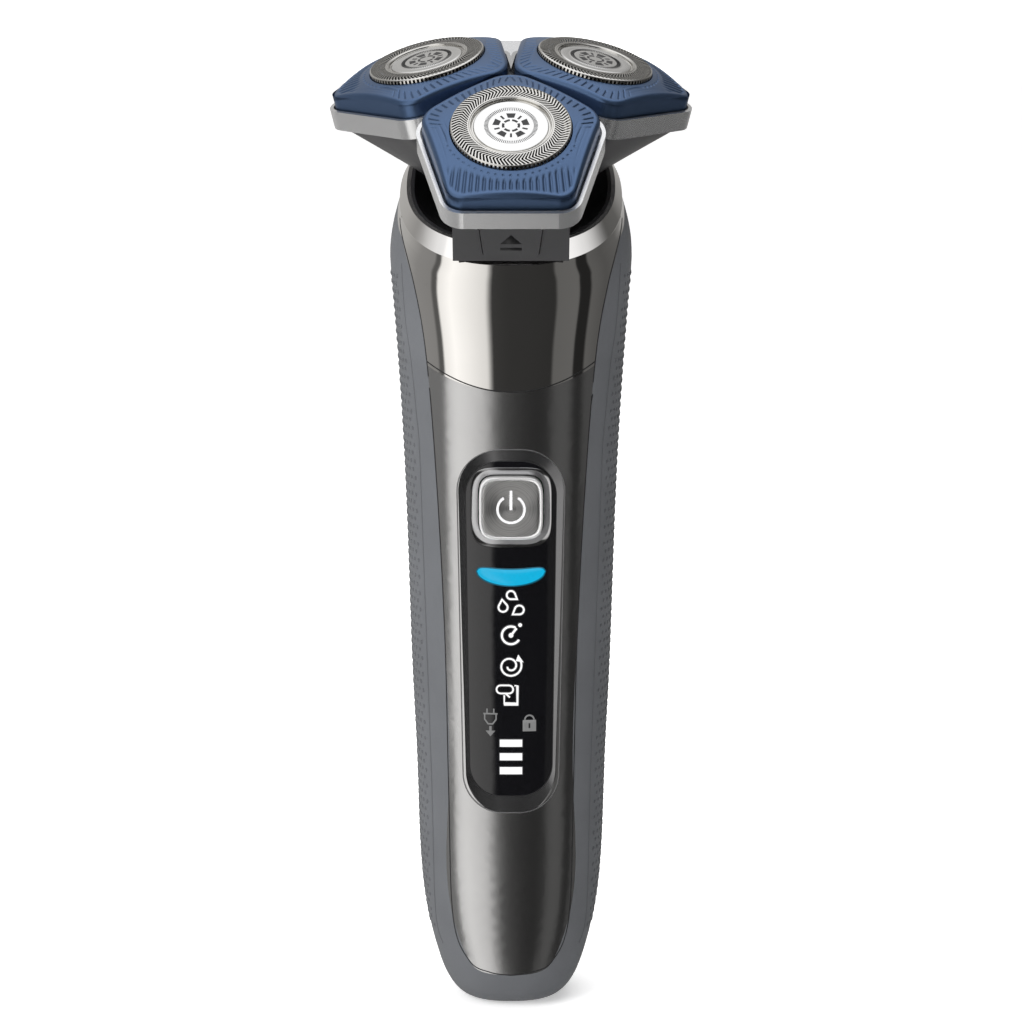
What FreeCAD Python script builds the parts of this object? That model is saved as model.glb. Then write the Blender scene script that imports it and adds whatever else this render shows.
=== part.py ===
"""Rotary electric shaver, standing upright on its foot.

Units are millimetres.  +Z is up, the front faces -Y and +X is the viewer's right.
The origin is the centre of the foot.  Three local frames are used:
  head frame: origin at the centre of the three shaving heads, +Z along the drive axis,
              -Y towards the front;
  lobe frame: origin at the centre of one shaving ring, +Z out of the ring,
              +X away from the drive axis;
  row frame:  the frame of the finished part.
"""
import FreeCAD, Part
import math
import os

V = FreeCAD.Vector
X_AXIS = V(1, 0, 0)
Y_AXIS = V(0, 1, 0)
Z_AXIS = V(0, 0, 1)
ORIGIN = V(0, 0, 0)
FAR = 60.0                    # half size of cutters, past every outline
ABOVE_ALL = 200.0

# ---------------------------------------------------------------- head layout
HEAD_CENTRE = V(0, -7.0, 161.5)
HEAD_LEAN = 24.4            # degrees the drive axis leans towards the front
LOBE_RADIUS = 16.63         # drive axis to the centre of a shaving ring
LOBE_TILT = 14.6            # degrees each ring faces outwards
LOBES = {"front": -90.0, "right": 30.0, "left": 150.0}

# Sharp corners of a head cap in the lobe frame, and their rounding radii.
CAP_CORNERS = [(-16.4, 0.0), (-5.2, -15.2), (14.8, -10.0), (14.8, 10.0), (-5.2, 15.2)]
CAP_RADII = [5.0, 4.0, 3.0, 3.0, 4.0]
CAP_BOTTOM = -6.0
CAP_WALL = 1.2
CAP_DOME_RADIUS = 45.0
CAP_DOME_TOP = 0.42
CAP_EDGE_ROUND = 0.7
CAP_ROOF_UNDERSIDE = -3.4
SECTOR_MARGIN = 0.6         # cap to the plane between two lobes

RING_RADIUS = 10.0
GUARD_WALL = 0.4
GUARD_TRACK_THICKNESS = 0.35
GUARD_TRACK_INNER = 6.8
GUARD_DISC_RADIUS = 6.2
GUARD_GROOVE_DEPTH = 0.45
GUARD_GROOVE_SHEET = 0.35
GUARD_FLANGE_RADIUS = 10.7
GUARD_FLANGE_TOP = -2.6
GUARD_FLANGE_BOTTOM = -3.4
GUARD_SLOTS = 40
GUARD_SLOT_WIDTH = 0.42
GUARD_DISC_TOP = -0.15
GUARD_DISC_BOTTOM = -0.75
SEAT_PLAY = 0.05            # radial play of parts that are assembled by hand

BLADES = 15
BLADE_TOP = -0.5
BLADE_INNER = 7.0
BLADE_OUTER = 9.1
BLADE_THICKNESS = 0.4
BLADE_RAKE = 25.0
CUTTER_PLATE_TOP = -2.4
CUTTER_PLATE_BOTTOM = -3.0
CUTTER_BOSS_RADIUS = 3.0
CUTTER_BOSS_BOTTOM = -4.7
SOCKET_FLATS = 3.8
SOCKET_ROOF = -3.2

RETAINER_TOP = -3.4
RETAINER_BOTTOM = -4.2
RETAINER_OUTER = 11.0
RETAINER_INNER = 9.9
RETAINER_HUB_INNER = 3.5
RETAINER_HUB_OUTER = 4.5
RETAINER_HUB_TOP = -3.5
RETAINER_HUB_BOTTOM = -4.2
RETAINER_SPOKE_WIDTH = 1.4

PIVOT_DEPTH = -4.5
PIVOT_RADIUS = 0.6
PIVOT_INNER = 11.2
PIVOT_LENGTH = 1.9
PIVOT_CLEARANCE = 0.05
EAR_INNER = 11.35
EAR_OUTER = 11.95
EAR_HALF_WIDTH = 1.2
EAR_RISE = 0.95              # pivot axis to the top of an ear
EAR_ROOT = 0.3               # depth of an ear's foot in the frame's floor

# ---------------------------------------------------------------- head frame
FRAME_POCKET_GAP = 0.35
FRAME_OUTSET = 1.0
FRAME_TOP = -4.9
FRAME_FLOOR = -7.6
FRAME_BOTTOM = -8.3
FRAME_WINDOW_RADIUS = 10.2
FRAME_SEAM = 0.15           # frame to base housing, closed
WEB_RADIUS = 16.2
WEB_TOP = -3.9
WEB_BOTTOM = -6.7
HUB_ARM_WIDTH = 2.4
HUB_ARM_LENGTH = 5.0
HUB_BOTTOM = -6.5
HUB_TOP = -1.6

# ---------------------------------------------------------------- gear train
MODULE = 0.6
SUN_TEETH = 32
PLANET_TEETH = 20
GEAR_BOTTOM = -14.2
GEAR_TOP = -12.4
TOOTH_THINNING = 0.10       # backlash at the pitch circle
PLANET_AXIS_RADIUS = MODULE * (SUN_TEETH + PLANET_TEETH) / 2.0
SPINDLE_TIP_CENTRE = -4.1
SPINDLE_TIP_HALF = 0.6
SPINDLE_TIP_FLATS = 2.4
SPINDLE_RADIUS = 1.1
SPINDLE_FOOT_RADIUS = 1.5
RUNNING_CLEARANCE = 0.05

# ---------------------------------------------------------------- base housing
BASE_INSET = 0.3
BASE_WALL = 1.2
BASE_WAIST_HEIGHT = -20.0
BASE_WAIST_RADIUS = 9.0
BASE_WAIST_SHIFT = 2.0
BASE_CORE_RADIUS = 15.4
BASE_CORE_TOP = -6.85
GEAR_FLOOR = -14.5
GEAR_PLATE_TOP = -11.4
GEAR_PLATE_BOTTOM = -12.1
NECK_RADIUS = 10.0
NECK_BORE = 8.2
NECK_BOTTOM = -28.8
NECK_FLOOR = 1.2
SEAL_STAND = 0.3
SEAL_LOW = -27.6
SEAL_HEIGHT = 1.0
SUN_SHAFT_RADIUS = 2.2
SUN_SOCKET_RADIUS = 3.6
SUN_SOCKET_BOTTOM = -28.4
SUN_SOCKET_TOP = -25.4
SUN_SOCKET_FLATS = 4.6
BUSH_RADIUS = 4.2
BUSH_TOP = -15.0
BUSH_BOTTOM = -18.5
BUTTON_BLOCK_TOP_Y = -24.8
BUTTON_BLOCK_LOW_Y = -23.6
BUTTON_BLOCK_HALF_WIDTH = 9.6
BUTTON_BLOCK_TOP = -13.4
BUTTON_BLOCK_BOTTOM = -21.5
RIM_ROOM = 0.5               # block to the collar's rim and bevel

HINGE_Y = 24.8
HINGE_Z = -12.3
HINGE_PIN_RADIUS = 0.9
HINGE_PIN_HALF = 4.6
HINGE_LUG_RADIUS = 1.9
HINGE_FRAME_HALF = 2.0
HINGE_BASE_INNER = 2.2
HINGE_BASE_OUTER = 4.3
HINGE_REACH = 8.0
HINGE_RISE = 7.8            # axis to the top of the frame's lug

RELEASE_HALF_TOP = 5.2
RELEASE_HALF_LOW = 4.5
RELEASE_TOP = -14.4
RELEASE_BOTTOM = -20.3
RELEASE_STAND = 0.35
RELEASE_DEPTH = 1.3
RELEASE_POCKET = 2.5
RELEASE_GAP = 0.15

# ---------------------------------------------------------------- handle
# Height at the side, half width, front depth, back depth and forward tilt of each section.
HANDLE_SECTIONS = [
    (0.0, 7.2, 6.9, 7.2, 0.0),
    (0.5, 8.6, 8.2, 8.6, 0.0),
    (1.8, 10.1, 9.7, 10.2, 0.0),
    (4.6, 11.8, 11.3, 12.1, 0.0),
    (9.5, 13.45, 12.9, 14.0, 0.0),
    (17.5, 15.1, 14.3, 16.0, 0.0),
    (30.0, 16.1, 15.3, 17.6, 0.0),
    (55.0, 17.0, 16.3, 19.6, 0.0),
    (82.0, 17.85, 17.5, 20.8, 0.0),
    (106.0, 18.85, 18.9, 21.0, 0.0),
    (120.0, 19.75, 20.2, 21.4, 8.0),
    (131.0, 20.65, 21.0, 21.8, 17.0),
    (136.3, 20.25, 21.6, 22.0, 22.0),
    (139.2, 19.4, 21.9, 22.0, 25.0),
    (141.9, 19.0, 22.2, 22.0, 28.0),
]
RIM_SECTION = (143.9, 17.8, 19.6, 20.2, 28.0)
FOOT_SECTIONS = 5           # sections whose heights shift with the wall's inset
FOOT_BLEND = 17.5           # height above which they no longer do
SECTION_POWER = 2.4
SECTION_POINTS = 32
SHELL_WALL = 1.6
RIM_WALL = 0.7
RIM_LIP = 1.3
COLLAR_TOP_ZONE = (139.3, 26.0)

# Half widths of the front window at heights from the top down to its rounded end.
WINDOW_SIDE = [(19.6, 150.0), (18.9, 139.3), (18.5, 136.0), (16.1, 127.4), (14.2, 116.0),
               (12.6, 95.0), (11.3, 68.0), (10.75, 40.0), (10.1, 17.0)]
WINDOW_END = [(7.3, 9.0), (0.0, 6.5)]
COLLAR_SEAM_CENTRE = 110.4
COLLAR_SEAM_RISE = 4.8
SEAM_OVERRUN = 1.5            # seam arc drawn past the sides of the handle
COLLAR_SEAM_HALF = 14.3

# ---------------------------------------------------------------- display and power button
RECESS_TOP = 100.85
RECESS_BOTTOM = 32.3
RECESS_HALF_TOP = 10.0
RECESS_HALF_BOTTOM = 9.5
RECESS_FRONT_Y = -19.6
LENS_TOP = 98.6
LENS_BOTTOM = 39.6
LENS_HALF_TOP = 7.9
LENS_HALF_BOTTOM = 7.2
LENS_BACK_Y = -13.5
LENS_CORNER = 6.2
LENS_INSET = 0.8
LENS_THICKNESS = 1.1
BEZEL_THICKNESS = 0.7
TRAY_OVERLAP = 1.8           # tray's reach behind the panel round the display
POWER_Z = 90.5
POWER_SIZE = 10.8
POWER_POWER = 4.6
POWER_FRONT_Y = -18.3
POWER_BACK_Y = -15.2
POWER_PLAY = 0.2
POWER_STEM_RADIUS = 1.5
POWER_STEM_BACK_Y = -12.6
SURROUND_SIZE = 13.8

# ---------------------------------------------------------------- handle internals
BOARD_FRONT_Y = -10.9
BOARD_THICKNESS = 1.2
BOARD_HALF_WIDTH = 7.6
BOARD_LOW = 26.0
BOARD_HIGH = 104.0
CHASSIS_FRONT_Y = -7.4
CHASSIS_THICKNESS = 1.6
CHASSIS_HALF_WIDTH = 10.5
CHASSIS_LOW = 14.0
CHASSIS_HIGH = 108.0
CELL_RADIUS = 7.1
CELL_LENGTH = 50.0
CELL_Y = 3.0
CELL_LOW = 36.0
MOTOR_RADIUS = 9.5
MOTOR_LENGTH = 9.0
MOTOR_PLATE_RADIUS = 11.0
MOTOR_PLATE_THICKNESS = 0.9
LINER_FLOOR_TOP = -29.2
LINER_FLOOR_THICKNESS = 1.4
LINER_BORE = 10.4
FUNNEL_LOW = -25.6
FUNNEL_LOW_RADIUS = 11.4
MOTOR_SHAFT_RADIUS = 1.0
DRIVE_DOG_FLATS = 4.1
DRIVE_DOG_TOP = -26.2
DRIVE_DOG_BOTTOM = -28.2
SEAL_OUTER = 3.4
INLET_Z_TOP = 9.0
INLET_HALF_X = 4.2
INLET_HALF_Y = 2.8
INLET_OPEN_X = 3.2
INLET_OPEN_Y = 1.8
INLET_DEPTH = 6.0
INLET_PIN_RADIUS = 0.45
INLET_PIN_SPACING = 2.6


# ---------------------------------------------------------------- helpers
def moved(shape, vector):
    """Copy of a shape, shifted by a vector."""
    result = shape.copy()
    result.translate(vector)
    return result


def turned(shape, axis, angle, centre=ORIGIN):
    """Copy of a shape, turned about an axis through a point."""
    result = shape.copy()
    result.rotate(centre, axis, angle)
    return result


def in_head(shape):
    """Place a shape drawn in the head frame."""
    return moved(turned(shape, X_AXIS, HEAD_LEAN), HEAD_CENTRE)


def lobe_to_head(shape, lobe):
    """Place a shape drawn in a lobe frame into the head frame."""
    tilted = turned(shape, Y_AXIS, LOBE_TILT)
    return turned(moved(tilted, V(LOBE_RADIUS, 0, 0)), Z_AXIS, LOBES[lobe])


def in_lobe(shape, lobe):
    """Place a shape drawn in a lobe frame."""
    return in_head(lobe_to_head(shape, lobe))


def cylinder(radius, low, high, x=0.0, y=0.0):
    """Upright cylinder between two heights."""
    return Part.makeCylinder(radius, high - low, V(x, y, low))


def tube(outer, inner, low, high):
    """Upright tube between two heights."""
    return cylinder(outer, low, high).cut(cylinder(inner, low - 1, high + 1))


def box(x0, x1, y0, y1, z0, z1):
    """Box between two corners."""
    return Part.makeBox(x1 - x0, y1 - y0, z1 - z0, V(x0, y0, z0))


def hexagon(flats, low, high):
    """Upright hexagonal prism with its flats' distance given."""
    radius = flats / math.sqrt(3.0)
    points = [V(radius * math.cos(math.radians(60 * i)), radius * math.sin(math.radians(60 * i)), low)
              for i in range(6)]
    face = Part.Face(Part.makePolygon(points + [points[0]]))
    return face.extrude(V(0, 0, high - low))


def offset_corners(corners, distance):
    """Move every side of a clockwise or anticlockwise polygon outwards by a distance."""
    count = len(corners)
    area = sum(corners[i][0] * corners[(i + 1) % count][1] - corners[(i + 1) % count][0] * corners[i][1]
               for i in range(count))
    side = 1.0 if area > 0 else -1.0
    lines = []
    for i in range(count):
        (x0, y0), (x1, y1) = corners[i], corners[(i + 1) % count]
        length = math.hypot(x1 - x0, y1 - y0)
        nx = side * (y1 - y0) / length
        ny = -side * (x1 - x0) / length
        lines.append((nx, ny, nx * x0 + ny * y0 + distance))
    result = []
    for i in range(count):
        (a, b, c), (d, e, f) = lines[i - 1], lines[i]
        det = a * e - b * d
        result.append(((c * e - b * f) / det, (a * f - c * d) / det))
    return result


def rounded_wire(corners, radii, height):
    """Closed outline with every corner rounded by a tangent arc."""
    count = len(corners)
    edges = []
    last_end = None
    first_start = None
    for i in range(count):
        corner = V(corners[i][0], corners[i][1], height)
        before = V(corners[i - 1][0], corners[i - 1][1], height) - corner
        after = V(corners[(i + 1) % count][0], corners[(i + 1) % count][1], height) - corner
        before.normalize()
        after.normalize()
        half = before.getAngle(after) / 2.0
        reach = radii[i] / math.tan(half)
        bisector = before + after
        bisector.normalize()
        start = corner + before * reach
        end = corner + after * reach
        middle = corner + bisector * (radii[i] / math.sin(half) - radii[i])
        if last_end is not None:
            edges.append(Part.makeLine(last_end, start))
        else:
            first_start = start
        edges.append(Part.Arc(start, middle, end).toShape())
        last_end = end
    edges.append(Part.makeLine(last_end, first_start))
    return Part.Wire(edges)


def cap_prism(offset, low, high):
    """Prism with a head cap's outline, grown by an offset, in the lobe frame."""
    corners = offset_corners(CAP_CORNERS, offset)
    radii = [max(0.4, radius + offset) for radius in CAP_RADII]
    return Part.Face(rounded_wire(corners, radii, low)).extrude(V(0, 0, high - low))


def spline_wire(points):
    """Closed smooth outline through points."""
    curve = Part.BSplineCurve()
    curve.interpolate(Points=points, PeriodicFlag=True)
    return Part.Wire([curve.toShape()])


def superellipse(half_width, front, back, power, count=SECTION_POINTS):
    """Points of a rounded outline whose front and back depths differ."""
    points = []
    for i in range(count):
        angle = 2.0 * math.pi * i / count
        c, s = math.cos(angle), math.sin(angle)
        depth = back if s > 0 else front
        x = half_width * math.copysign(abs(c) ** (2.0 / power), c)
        y = depth * math.copysign(abs(s) ** (2.0 / power), s)
        points.append((x, y))
    return points


def squircle(size, y_front, y_back, x, z):
    """Rounded square prism along Y, for the power button and what surrounds it."""
    outline = superellipse(size / 2.0, size / 2.0, size / 2.0, POWER_POWER)
    wire = spline_wire([V(x + p, y_front, z + q) for p, q in outline])
    return Part.Face(wire).extrude(V(0, y_back - y_front, 0))


# ---------------------------------------------------------------- handle body
def section_wire(section, inset, rise=0.0):
    """One cross-section of the handle, tilted forwards about its side-to-side axis."""
    height, half_width, front, back, tilt = section
    outline = superellipse(half_width - inset, front - inset, back - inset, SECTION_POWER)
    angle = math.radians(tilt)
    points = [V(x, y * math.cos(angle) - rise * math.sin(angle),
                height + y * math.sin(angle) + rise * math.cos(angle)) for x, y in outline]
    return spline_wire(points)


def handle_body(inset):
    """Solid handle up to its rim, with every wall moved in by an inset."""
    sections = [list(section) for section in HANDLE_SECTIONS]
    for section in sections[:FOOT_SECTIONS]:
        section[0] = inset + section[0] * (FOOT_BLEND - inset) / FOOT_BLEND
    wires = [section_wire(section, inset) for section in sections]
    lower = Part.makeLoft(wires, True, False)
    rim_inset = min(inset, RIM_WALL)
    bevel = Part.makeLoft([section_wire(HANDLE_SECTIONS[-1], inset),
                           section_wire(RIM_SECTION, rim_inset)], True, True)
    return lower.fuse(bevel)


def window_face():
    """Front window outline that the panel and collar fill, facing -Y."""
    side = [V(x, 0, z) for x, z in WINDOW_SIDE]
    end = [V(x, 0, z) for x, z in WINDOW_END]
    right_points = side + end
    right = Part.BSplineCurve()
    right.interpolate(Points=right_points, InitialTangent=V(-0.3, 0, -6),
                      FinalTangent=V(-6, 0, 0))
    left = Part.BSplineCurve()
    mirrored = [V(-point.x, 0, point.z) for point in right_points]
    left.interpolate(Points=mirrored, InitialTangent=V(0.3, 0, -6), FinalTangent=V(6, 0, 0))
    top = Part.makeLine(mirrored[0], right_points[0])
    return Part.Face(Part.Wire([top, right.toShape(), left.toShape()]))


def collar_seam_cutter():
    """Solid that holds all above the curved seam between panel and collar."""
    half = COLLAR_SEAM_HALF * SEAM_OVERRUN
    end_z = COLLAR_SEAM_CENTRE + COLLAR_SEAM_RISE * SEAM_OVERRUN ** 2
    left, right = V(-half, -FAR, end_z), V(half, -FAR, end_z)
    left_top, right_top = V(-half, -FAR, ABOVE_ALL), V(half, -FAR, ABOVE_ALL)
    arc = Part.Arc(left, V(0, -FAR, COLLAR_SEAM_CENTRE), right).toShape()
    outline = Part.Wire([arc, Part.makeLine(right, right_top), Part.makeLine(right_top, left_top),
                         Part.makeLine(left_top, left)])
    return Part.Face(outline).extrude(V(0, FAR, 0))


def oblong(half_top, half_low, top, low, y, corner):
    """Tapered oblong outline in a plane of constant Y."""
    corners = [(-half_low, low), (half_low, low), (half_top, top), (-half_top, top)]
    wire = rounded_wire(corners, [corner - 0.6, corner - 0.6, corner, corner], 0.0)
    return moved(turned(wire, X_AXIS, 90), V(0, y, 0))


def recess_cutter():
    """Bevelled recess around the display."""
    outer = oblong(RECESS_HALF_TOP, RECESS_HALF_BOTTOM, RECESS_TOP, RECESS_BOTTOM,
                   RECESS_FRONT_Y, LENS_CORNER + 1.0)
    inner = oblong(LENS_HALF_TOP, LENS_HALF_BOTTOM, LENS_TOP, LENS_BOTTOM, LENS_BACK_Y, LENS_CORNER)
    return Part.makeLoft([outer, inner], True, True)


def lens_prism(grow=0.0):
    """Prism along Y with the display's outline."""
    wire = oblong(LENS_HALF_TOP + grow, LENS_HALF_BOTTOM + grow, LENS_TOP + grow,
                  LENS_BOTTOM - grow, -30.0, LENS_CORNER + grow)
    return Part.Face(wire).extrude(V(0, 22.0, 0))


def handle_shells(bodies):
    """Grip shell, front panel and chrome collar, cut from one continuous skin."""
    skin = bodies[0.0].cut(bodies[SHELL_WALL])
    window = window_face().extrude(V(0, -60, 0))
    above_seam = collar_seam_cutter()
    height, tilt = COLLAR_TOP_ZONE
    top_zone = turned(box(-FAR, FAR, -FAR, FAR, height, height + 60), X_AXIS, tilt, V(0, 0, height))
    collar_zone = window.common(above_seam).fuse(top_zone)
    collar = skin.common(collar_zone)
    lower_skin = skin.cut(top_zone)
    panel = lower_skin.common(window).cut(above_seam)
    grip = lower_skin.cut(window)
    panel = panel.cut(recess_cutter()).cut(lens_prism())
    grip = grip.cut(box(-INLET_HALF_X, INLET_HALF_X, -INLET_HALF_Y, INLET_HALF_Y, -5, 5))
    return {"grip_shell": grip, "front_panel": panel, "chrome_collar": collar}


def display_parts(bodies):
    """Lens, button surround and bezel tray, following the panel's curve."""
    lens_slab = bodies[LENS_INSET].cut(bodies[LENS_INSET + LENS_THICKNESS])
    bezel_slab = bodies[LENS_INSET + LENS_THICKNESS].cut(
        bodies[LENS_INSET + LENS_THICKNESS + BEZEL_THICKNESS])
    button_hole = squircle(POWER_SIZE + 2 * POWER_PLAY, -30, -8, 0, POWER_Z)
    surround = squircle(SURROUND_SIZE, -30, -8, 0, POWER_Z)
    lens_area = lens_slab.common(lens_prism())
    return {"display_lens": lens_area.cut(surround),
            "button_surround": lens_area.common(surround).cut(button_hole),
            "display_tray": bezel_slab.common(lens_prism(TRAY_OVERLAP)).cut(button_hole)}


def power_button():
    """Spun metal button with a stem that reaches towards its switch."""
    disc = squircle(POWER_SIZE, POWER_FRONT_Y, POWER_BACK_Y, 0, POWER_Z)
    front_edges = [edge for edge in disc.Edges if abs(edge.BoundBox.YMin - POWER_FRONT_Y) < 0.01
                   and abs(edge.BoundBox.YMax - POWER_FRONT_Y) < 0.01]
    disc = disc.makeFillet(0.35, front_edges)
    dish = Part.makeSphere(60.0, V(0, POWER_FRONT_Y - 59.75, POWER_Z))
    disc = disc.cut(dish)
    stem = turned(Part.makeCylinder(POWER_STEM_RADIUS, POWER_STEM_BACK_Y - POWER_BACK_Y + 0.5),
                  X_AXIS, -90)
    return disc.fuse(moved(stem, V(0, POWER_BACK_Y - 0.5, POWER_Z)))


# ---------------------------------------------------------------- handle internals
def funnel_cavity():
    """Open space of the collar around the shaving unit's neck, in the row frame."""
    rim = section_wire(RIM_SECTION, RIM_LIP)
    above = section_wire(RIM_SECTION, RIM_LIP, rise=4.0)
    ring = []
    for x, y in superellipse(FUNNEL_LOW_RADIUS, FUNNEL_LOW_RADIUS, FUNNEL_LOW_RADIUS, 2.0):
        ring.append(V(x, y, FUNNEL_LOW))
    low = in_head(spline_wire(ring))
    cone = Part.makeLoft([low, rim], True, True)
    mouth = Part.makeLoft([rim, above], True, True)
    bore = in_head(cylinder(LINER_BORE, LINER_FLOOR_TOP, FUNNEL_LOW + 0.5))
    return cone.fuse(mouth).fuse(bore)


def collar_liner(bodies):
    """Black funnel inside the collar, with the seat for the shaving unit's neck."""
    floor_low = LINER_FLOOR_TOP - LINER_FLOOR_THICKNESS
    keep = in_head(cylinder(FAR, floor_low, 40))
    liner = bodies[SHELL_WALL].common(keep).cut(funnel_cavity())
    shaft_hole = in_head(cylinder(SEAL_OUTER, floor_low - 1, LINER_FLOOR_TOP + 1))
    return liner.cut(shaft_hole)


def motor_parts():
    """Motor can, its plate, screws and the seal around its shaft."""
    plate_top = LINER_FLOOR_TOP - LINER_FLOOR_THICKNESS
    plate_low = plate_top - MOTOR_PLATE_THICKNESS
    plate = tube(MOTOR_PLATE_RADIUS, SEAL_OUTER, plate_low, plate_top)
    can = tube(MOTOR_RADIUS, MOTOR_SHAFT_RADIUS + 0.3, plate_low - MOTOR_LENGTH, plate_low)
    seal = tube(SEAL_OUTER, MOTOR_SHAFT_RADIUS + 0.3, plate_low, LINER_FLOOR_TOP)
    return {"motor_can": in_head(can), "motor_plate": in_head(plate), "shaft_seal": in_head(seal)}


def motor_drive():
    """Motor shaft with its six-sided drive dog."""
    plate_low = LINER_FLOOR_TOP - LINER_FLOOR_THICKNESS - MOTOR_PLATE_THICKNESS
    shaft = cylinder(MOTOR_SHAFT_RADIUS, plate_low - MOTOR_LENGTH + 1.5, DRIVE_DOG_BOTTOM)
    dog = hexagon(DRIVE_DOG_FLATS, DRIVE_DOG_BOTTOM, DRIVE_DOG_TOP)
    return {"motor_shaft": in_head(shaft), "drive_dog": in_head(dog)}


def power_train(bodies):
    """Battery cell, its contacts, the chassis, the circuit board and its switch."""
    space = bodies[LENS_INSET + LENS_THICKNESS + BEZEL_THICKNESS]
    chassis = box(-CHASSIS_HALF_WIDTH, CHASSIS_HALF_WIDTH, CHASSIS_FRONT_Y,
                  CHASSIS_FRONT_Y + CHASSIS_THICKNESS, CHASSIS_LOW, CHASSIS_HIGH)
    cell_top = CELL_LOW + CELL_LENGTH
    for low in (CELL_LOW - 3.2, cell_top + 1.2):
        shelf = box(-CHASSIS_HALF_WIDTH, CHASSIS_HALF_WIDTH, CHASSIS_FRONT_Y, CELL_Y + CELL_RADIUS,
                    low, low + 2.0)
        chassis = chassis.fuse(shelf)
    for x in (-BOARD_HALF_WIDTH + 1.2, BOARD_HALF_WIDTH - 1.2):
        for z in (BOARD_LOW + 3, BOARD_HIGH - 3):
            post = turned(Part.makeCylinder(1.1, CHASSIS_FRONT_Y - BOARD_FRONT_Y - BOARD_THICKNESS),
                          X_AXIS, -90)
            chassis = chassis.fuse(moved(post, V(x, BOARD_FRONT_Y + BOARD_THICKNESS, z)))
    cell = cylinder(CELL_RADIUS, CELL_LOW, cell_top, 0, CELL_Y).fuse(
        cylinder(2.4, cell_top, cell_top + 0.8, 0, CELL_Y))
    contacts = Part.makeCompound([box(-3, 3, CELL_Y - 3, CELL_Y + 3, CELL_LOW - 1.2, CELL_LOW),
                                  box(-3, 3, CELL_Y - 3, CELL_Y + 3, cell_top + 0.8, cell_top + 1.2)])
    board = box(-BOARD_HALF_WIDTH, BOARD_HALF_WIDTH, BOARD_FRONT_Y, BOARD_FRONT_Y + BOARD_THICKNESS,
                BOARD_LOW, BOARD_HIGH)
    switch = box(-2.2, 2.2, BOARD_FRONT_Y - 1.0, BOARD_FRONT_Y, POWER_Z - 2.2, POWER_Z + 2.2)
    screws = []
    for x in (-BOARD_HALF_WIDTH + 1.2, BOARD_HALF_WIDTH - 1.2):
        for z in (BOARD_LOW + 3, BOARD_HIGH - 3):
            head = turned(Part.makeCylinder(1.0, 0.7), X_AXIS, -90)
            screws.append(moved(head, V(x, BOARD_FRONT_Y - 0.7, z)))
    lamps = [box(-0.8 + x, 0.8 + x, BOARD_FRONT_Y - 0.8, BOARD_FRONT_Y, z - 0.8, z + 0.8)
             for x, z in ((-3.5, 80), (0, 79.5), (3.5, 80), (0, 74), (0, 68.5), (0, 63), (0, 57.5),
                          (-3, 53), (3, 53), (0, 49), (0, 46.5), (0, 44))]
    return {"inner_chassis": chassis.common(space), "battery_cell": cell,
            "battery_contacts": contacts, "circuit_board": board.common(space),
            "power_switch": switch, "board_screws": Part.makeCompound(screws),
            "display_lamps": Part.makeCompound(lamps)}


def charging_inlet():
    """Socket in the foot with two contact pins."""
    shell = box(-INLET_HALF_X, INLET_HALF_X, -INLET_HALF_Y, INLET_HALF_Y, 0, INLET_Z_TOP)
    hollow = box(-INLET_OPEN_X, INLET_OPEN_X, -INLET_OPEN_Y, INLET_OPEN_Y, -1, INLET_DEPTH)
    pins = [cylinder(INLET_PIN_RADIUS, 1.5, INLET_DEPTH, side * INLET_PIN_SPACING / 2.0, 0)
            for side in (-1, 1)]
    return {"charging_inlet": shell.cut(hollow), "inlet_pins": Part.makeCompound(pins)}


# ---------------------------------------------------------------- gears
def gear(teeth, low, high, first_tooth):
    """Spur gear with involute flanks drawn as short chords."""
    pitch = MODULE * teeth / 2.0
    base = pitch * math.cos(math.radians(20.0))
    tip = pitch + MODULE
    root = pitch - 1.2 * MODULE
    half_pitch_angle = math.pi / (2 * teeth) - TOOTH_THINNING / (2 * pitch)
    inv_pitch = math.tan(math.radians(20.0)) - math.radians(20.0)
    start = max(base, root)
    radii = [start + (tip - start) * step / 3.0 for step in range(4)]
    points = []
    for tooth in range(teeth):
        middle = math.radians(first_tooth) + 2 * math.pi * tooth / teeth
        flank = []
        for radius in radii:
            pressure = math.acos(min(1.0, base / radius))
            flank.append((radius, half_pitch_angle + inv_pitch - (math.tan(pressure) - pressure)))
        foot = (root, flank[0][1])
        for radius, angle in [foot] + flank:
            points.append(V(radius * math.cos(middle - angle), radius * math.sin(middle - angle), low))
        for radius, angle in reversed([foot] + flank):
            points.append(V(radius * math.cos(middle + angle), radius * math.sin(middle + angle), low))
    cleaned = [points[0]]
    for point in points[1:]:
        if (point - cleaned[-1]).Length > 0.01:
            cleaned.append(point)
    face = Part.Face(Part.makePolygon(cleaned + [cleaned[0]]))
    return face.extrude(V(0, 0, high - low))


def planet_first_tooth(direction):
    """Angle of a planet tooth that meshes with a sun gear that has a tooth on +X."""
    sun_step = 360.0 / SUN_TEETH
    lead = round(direction / sun_step) * sun_step - direction
    return direction + 180.0 - lead * SUN_TEETH / PLANET_TEETH + 180.0 / PLANET_TEETH


def sun_gear():
    """Central gear on a hollow shaft whose lower end fits over the drive dog."""
    wheel = gear(SUN_TEETH, GEAR_BOTTOM, GEAR_TOP, 0.0)
    shaft = cylinder(SUN_SHAFT_RADIUS, SUN_SOCKET_TOP - 0.5, GEAR_TOP)
    shoulder = cylinder(SUN_SOCKET_RADIUS, SUN_SOCKET_BOTTOM, SUN_SOCKET_TOP)
    socket = hexagon(SUN_SOCKET_FLATS, SUN_SOCKET_BOTTOM - 1, SUN_SOCKET_TOP - 0.6)
    return in_head(wheel.fuse(shaft).fuse(shoulder).cut(socket))


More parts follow.
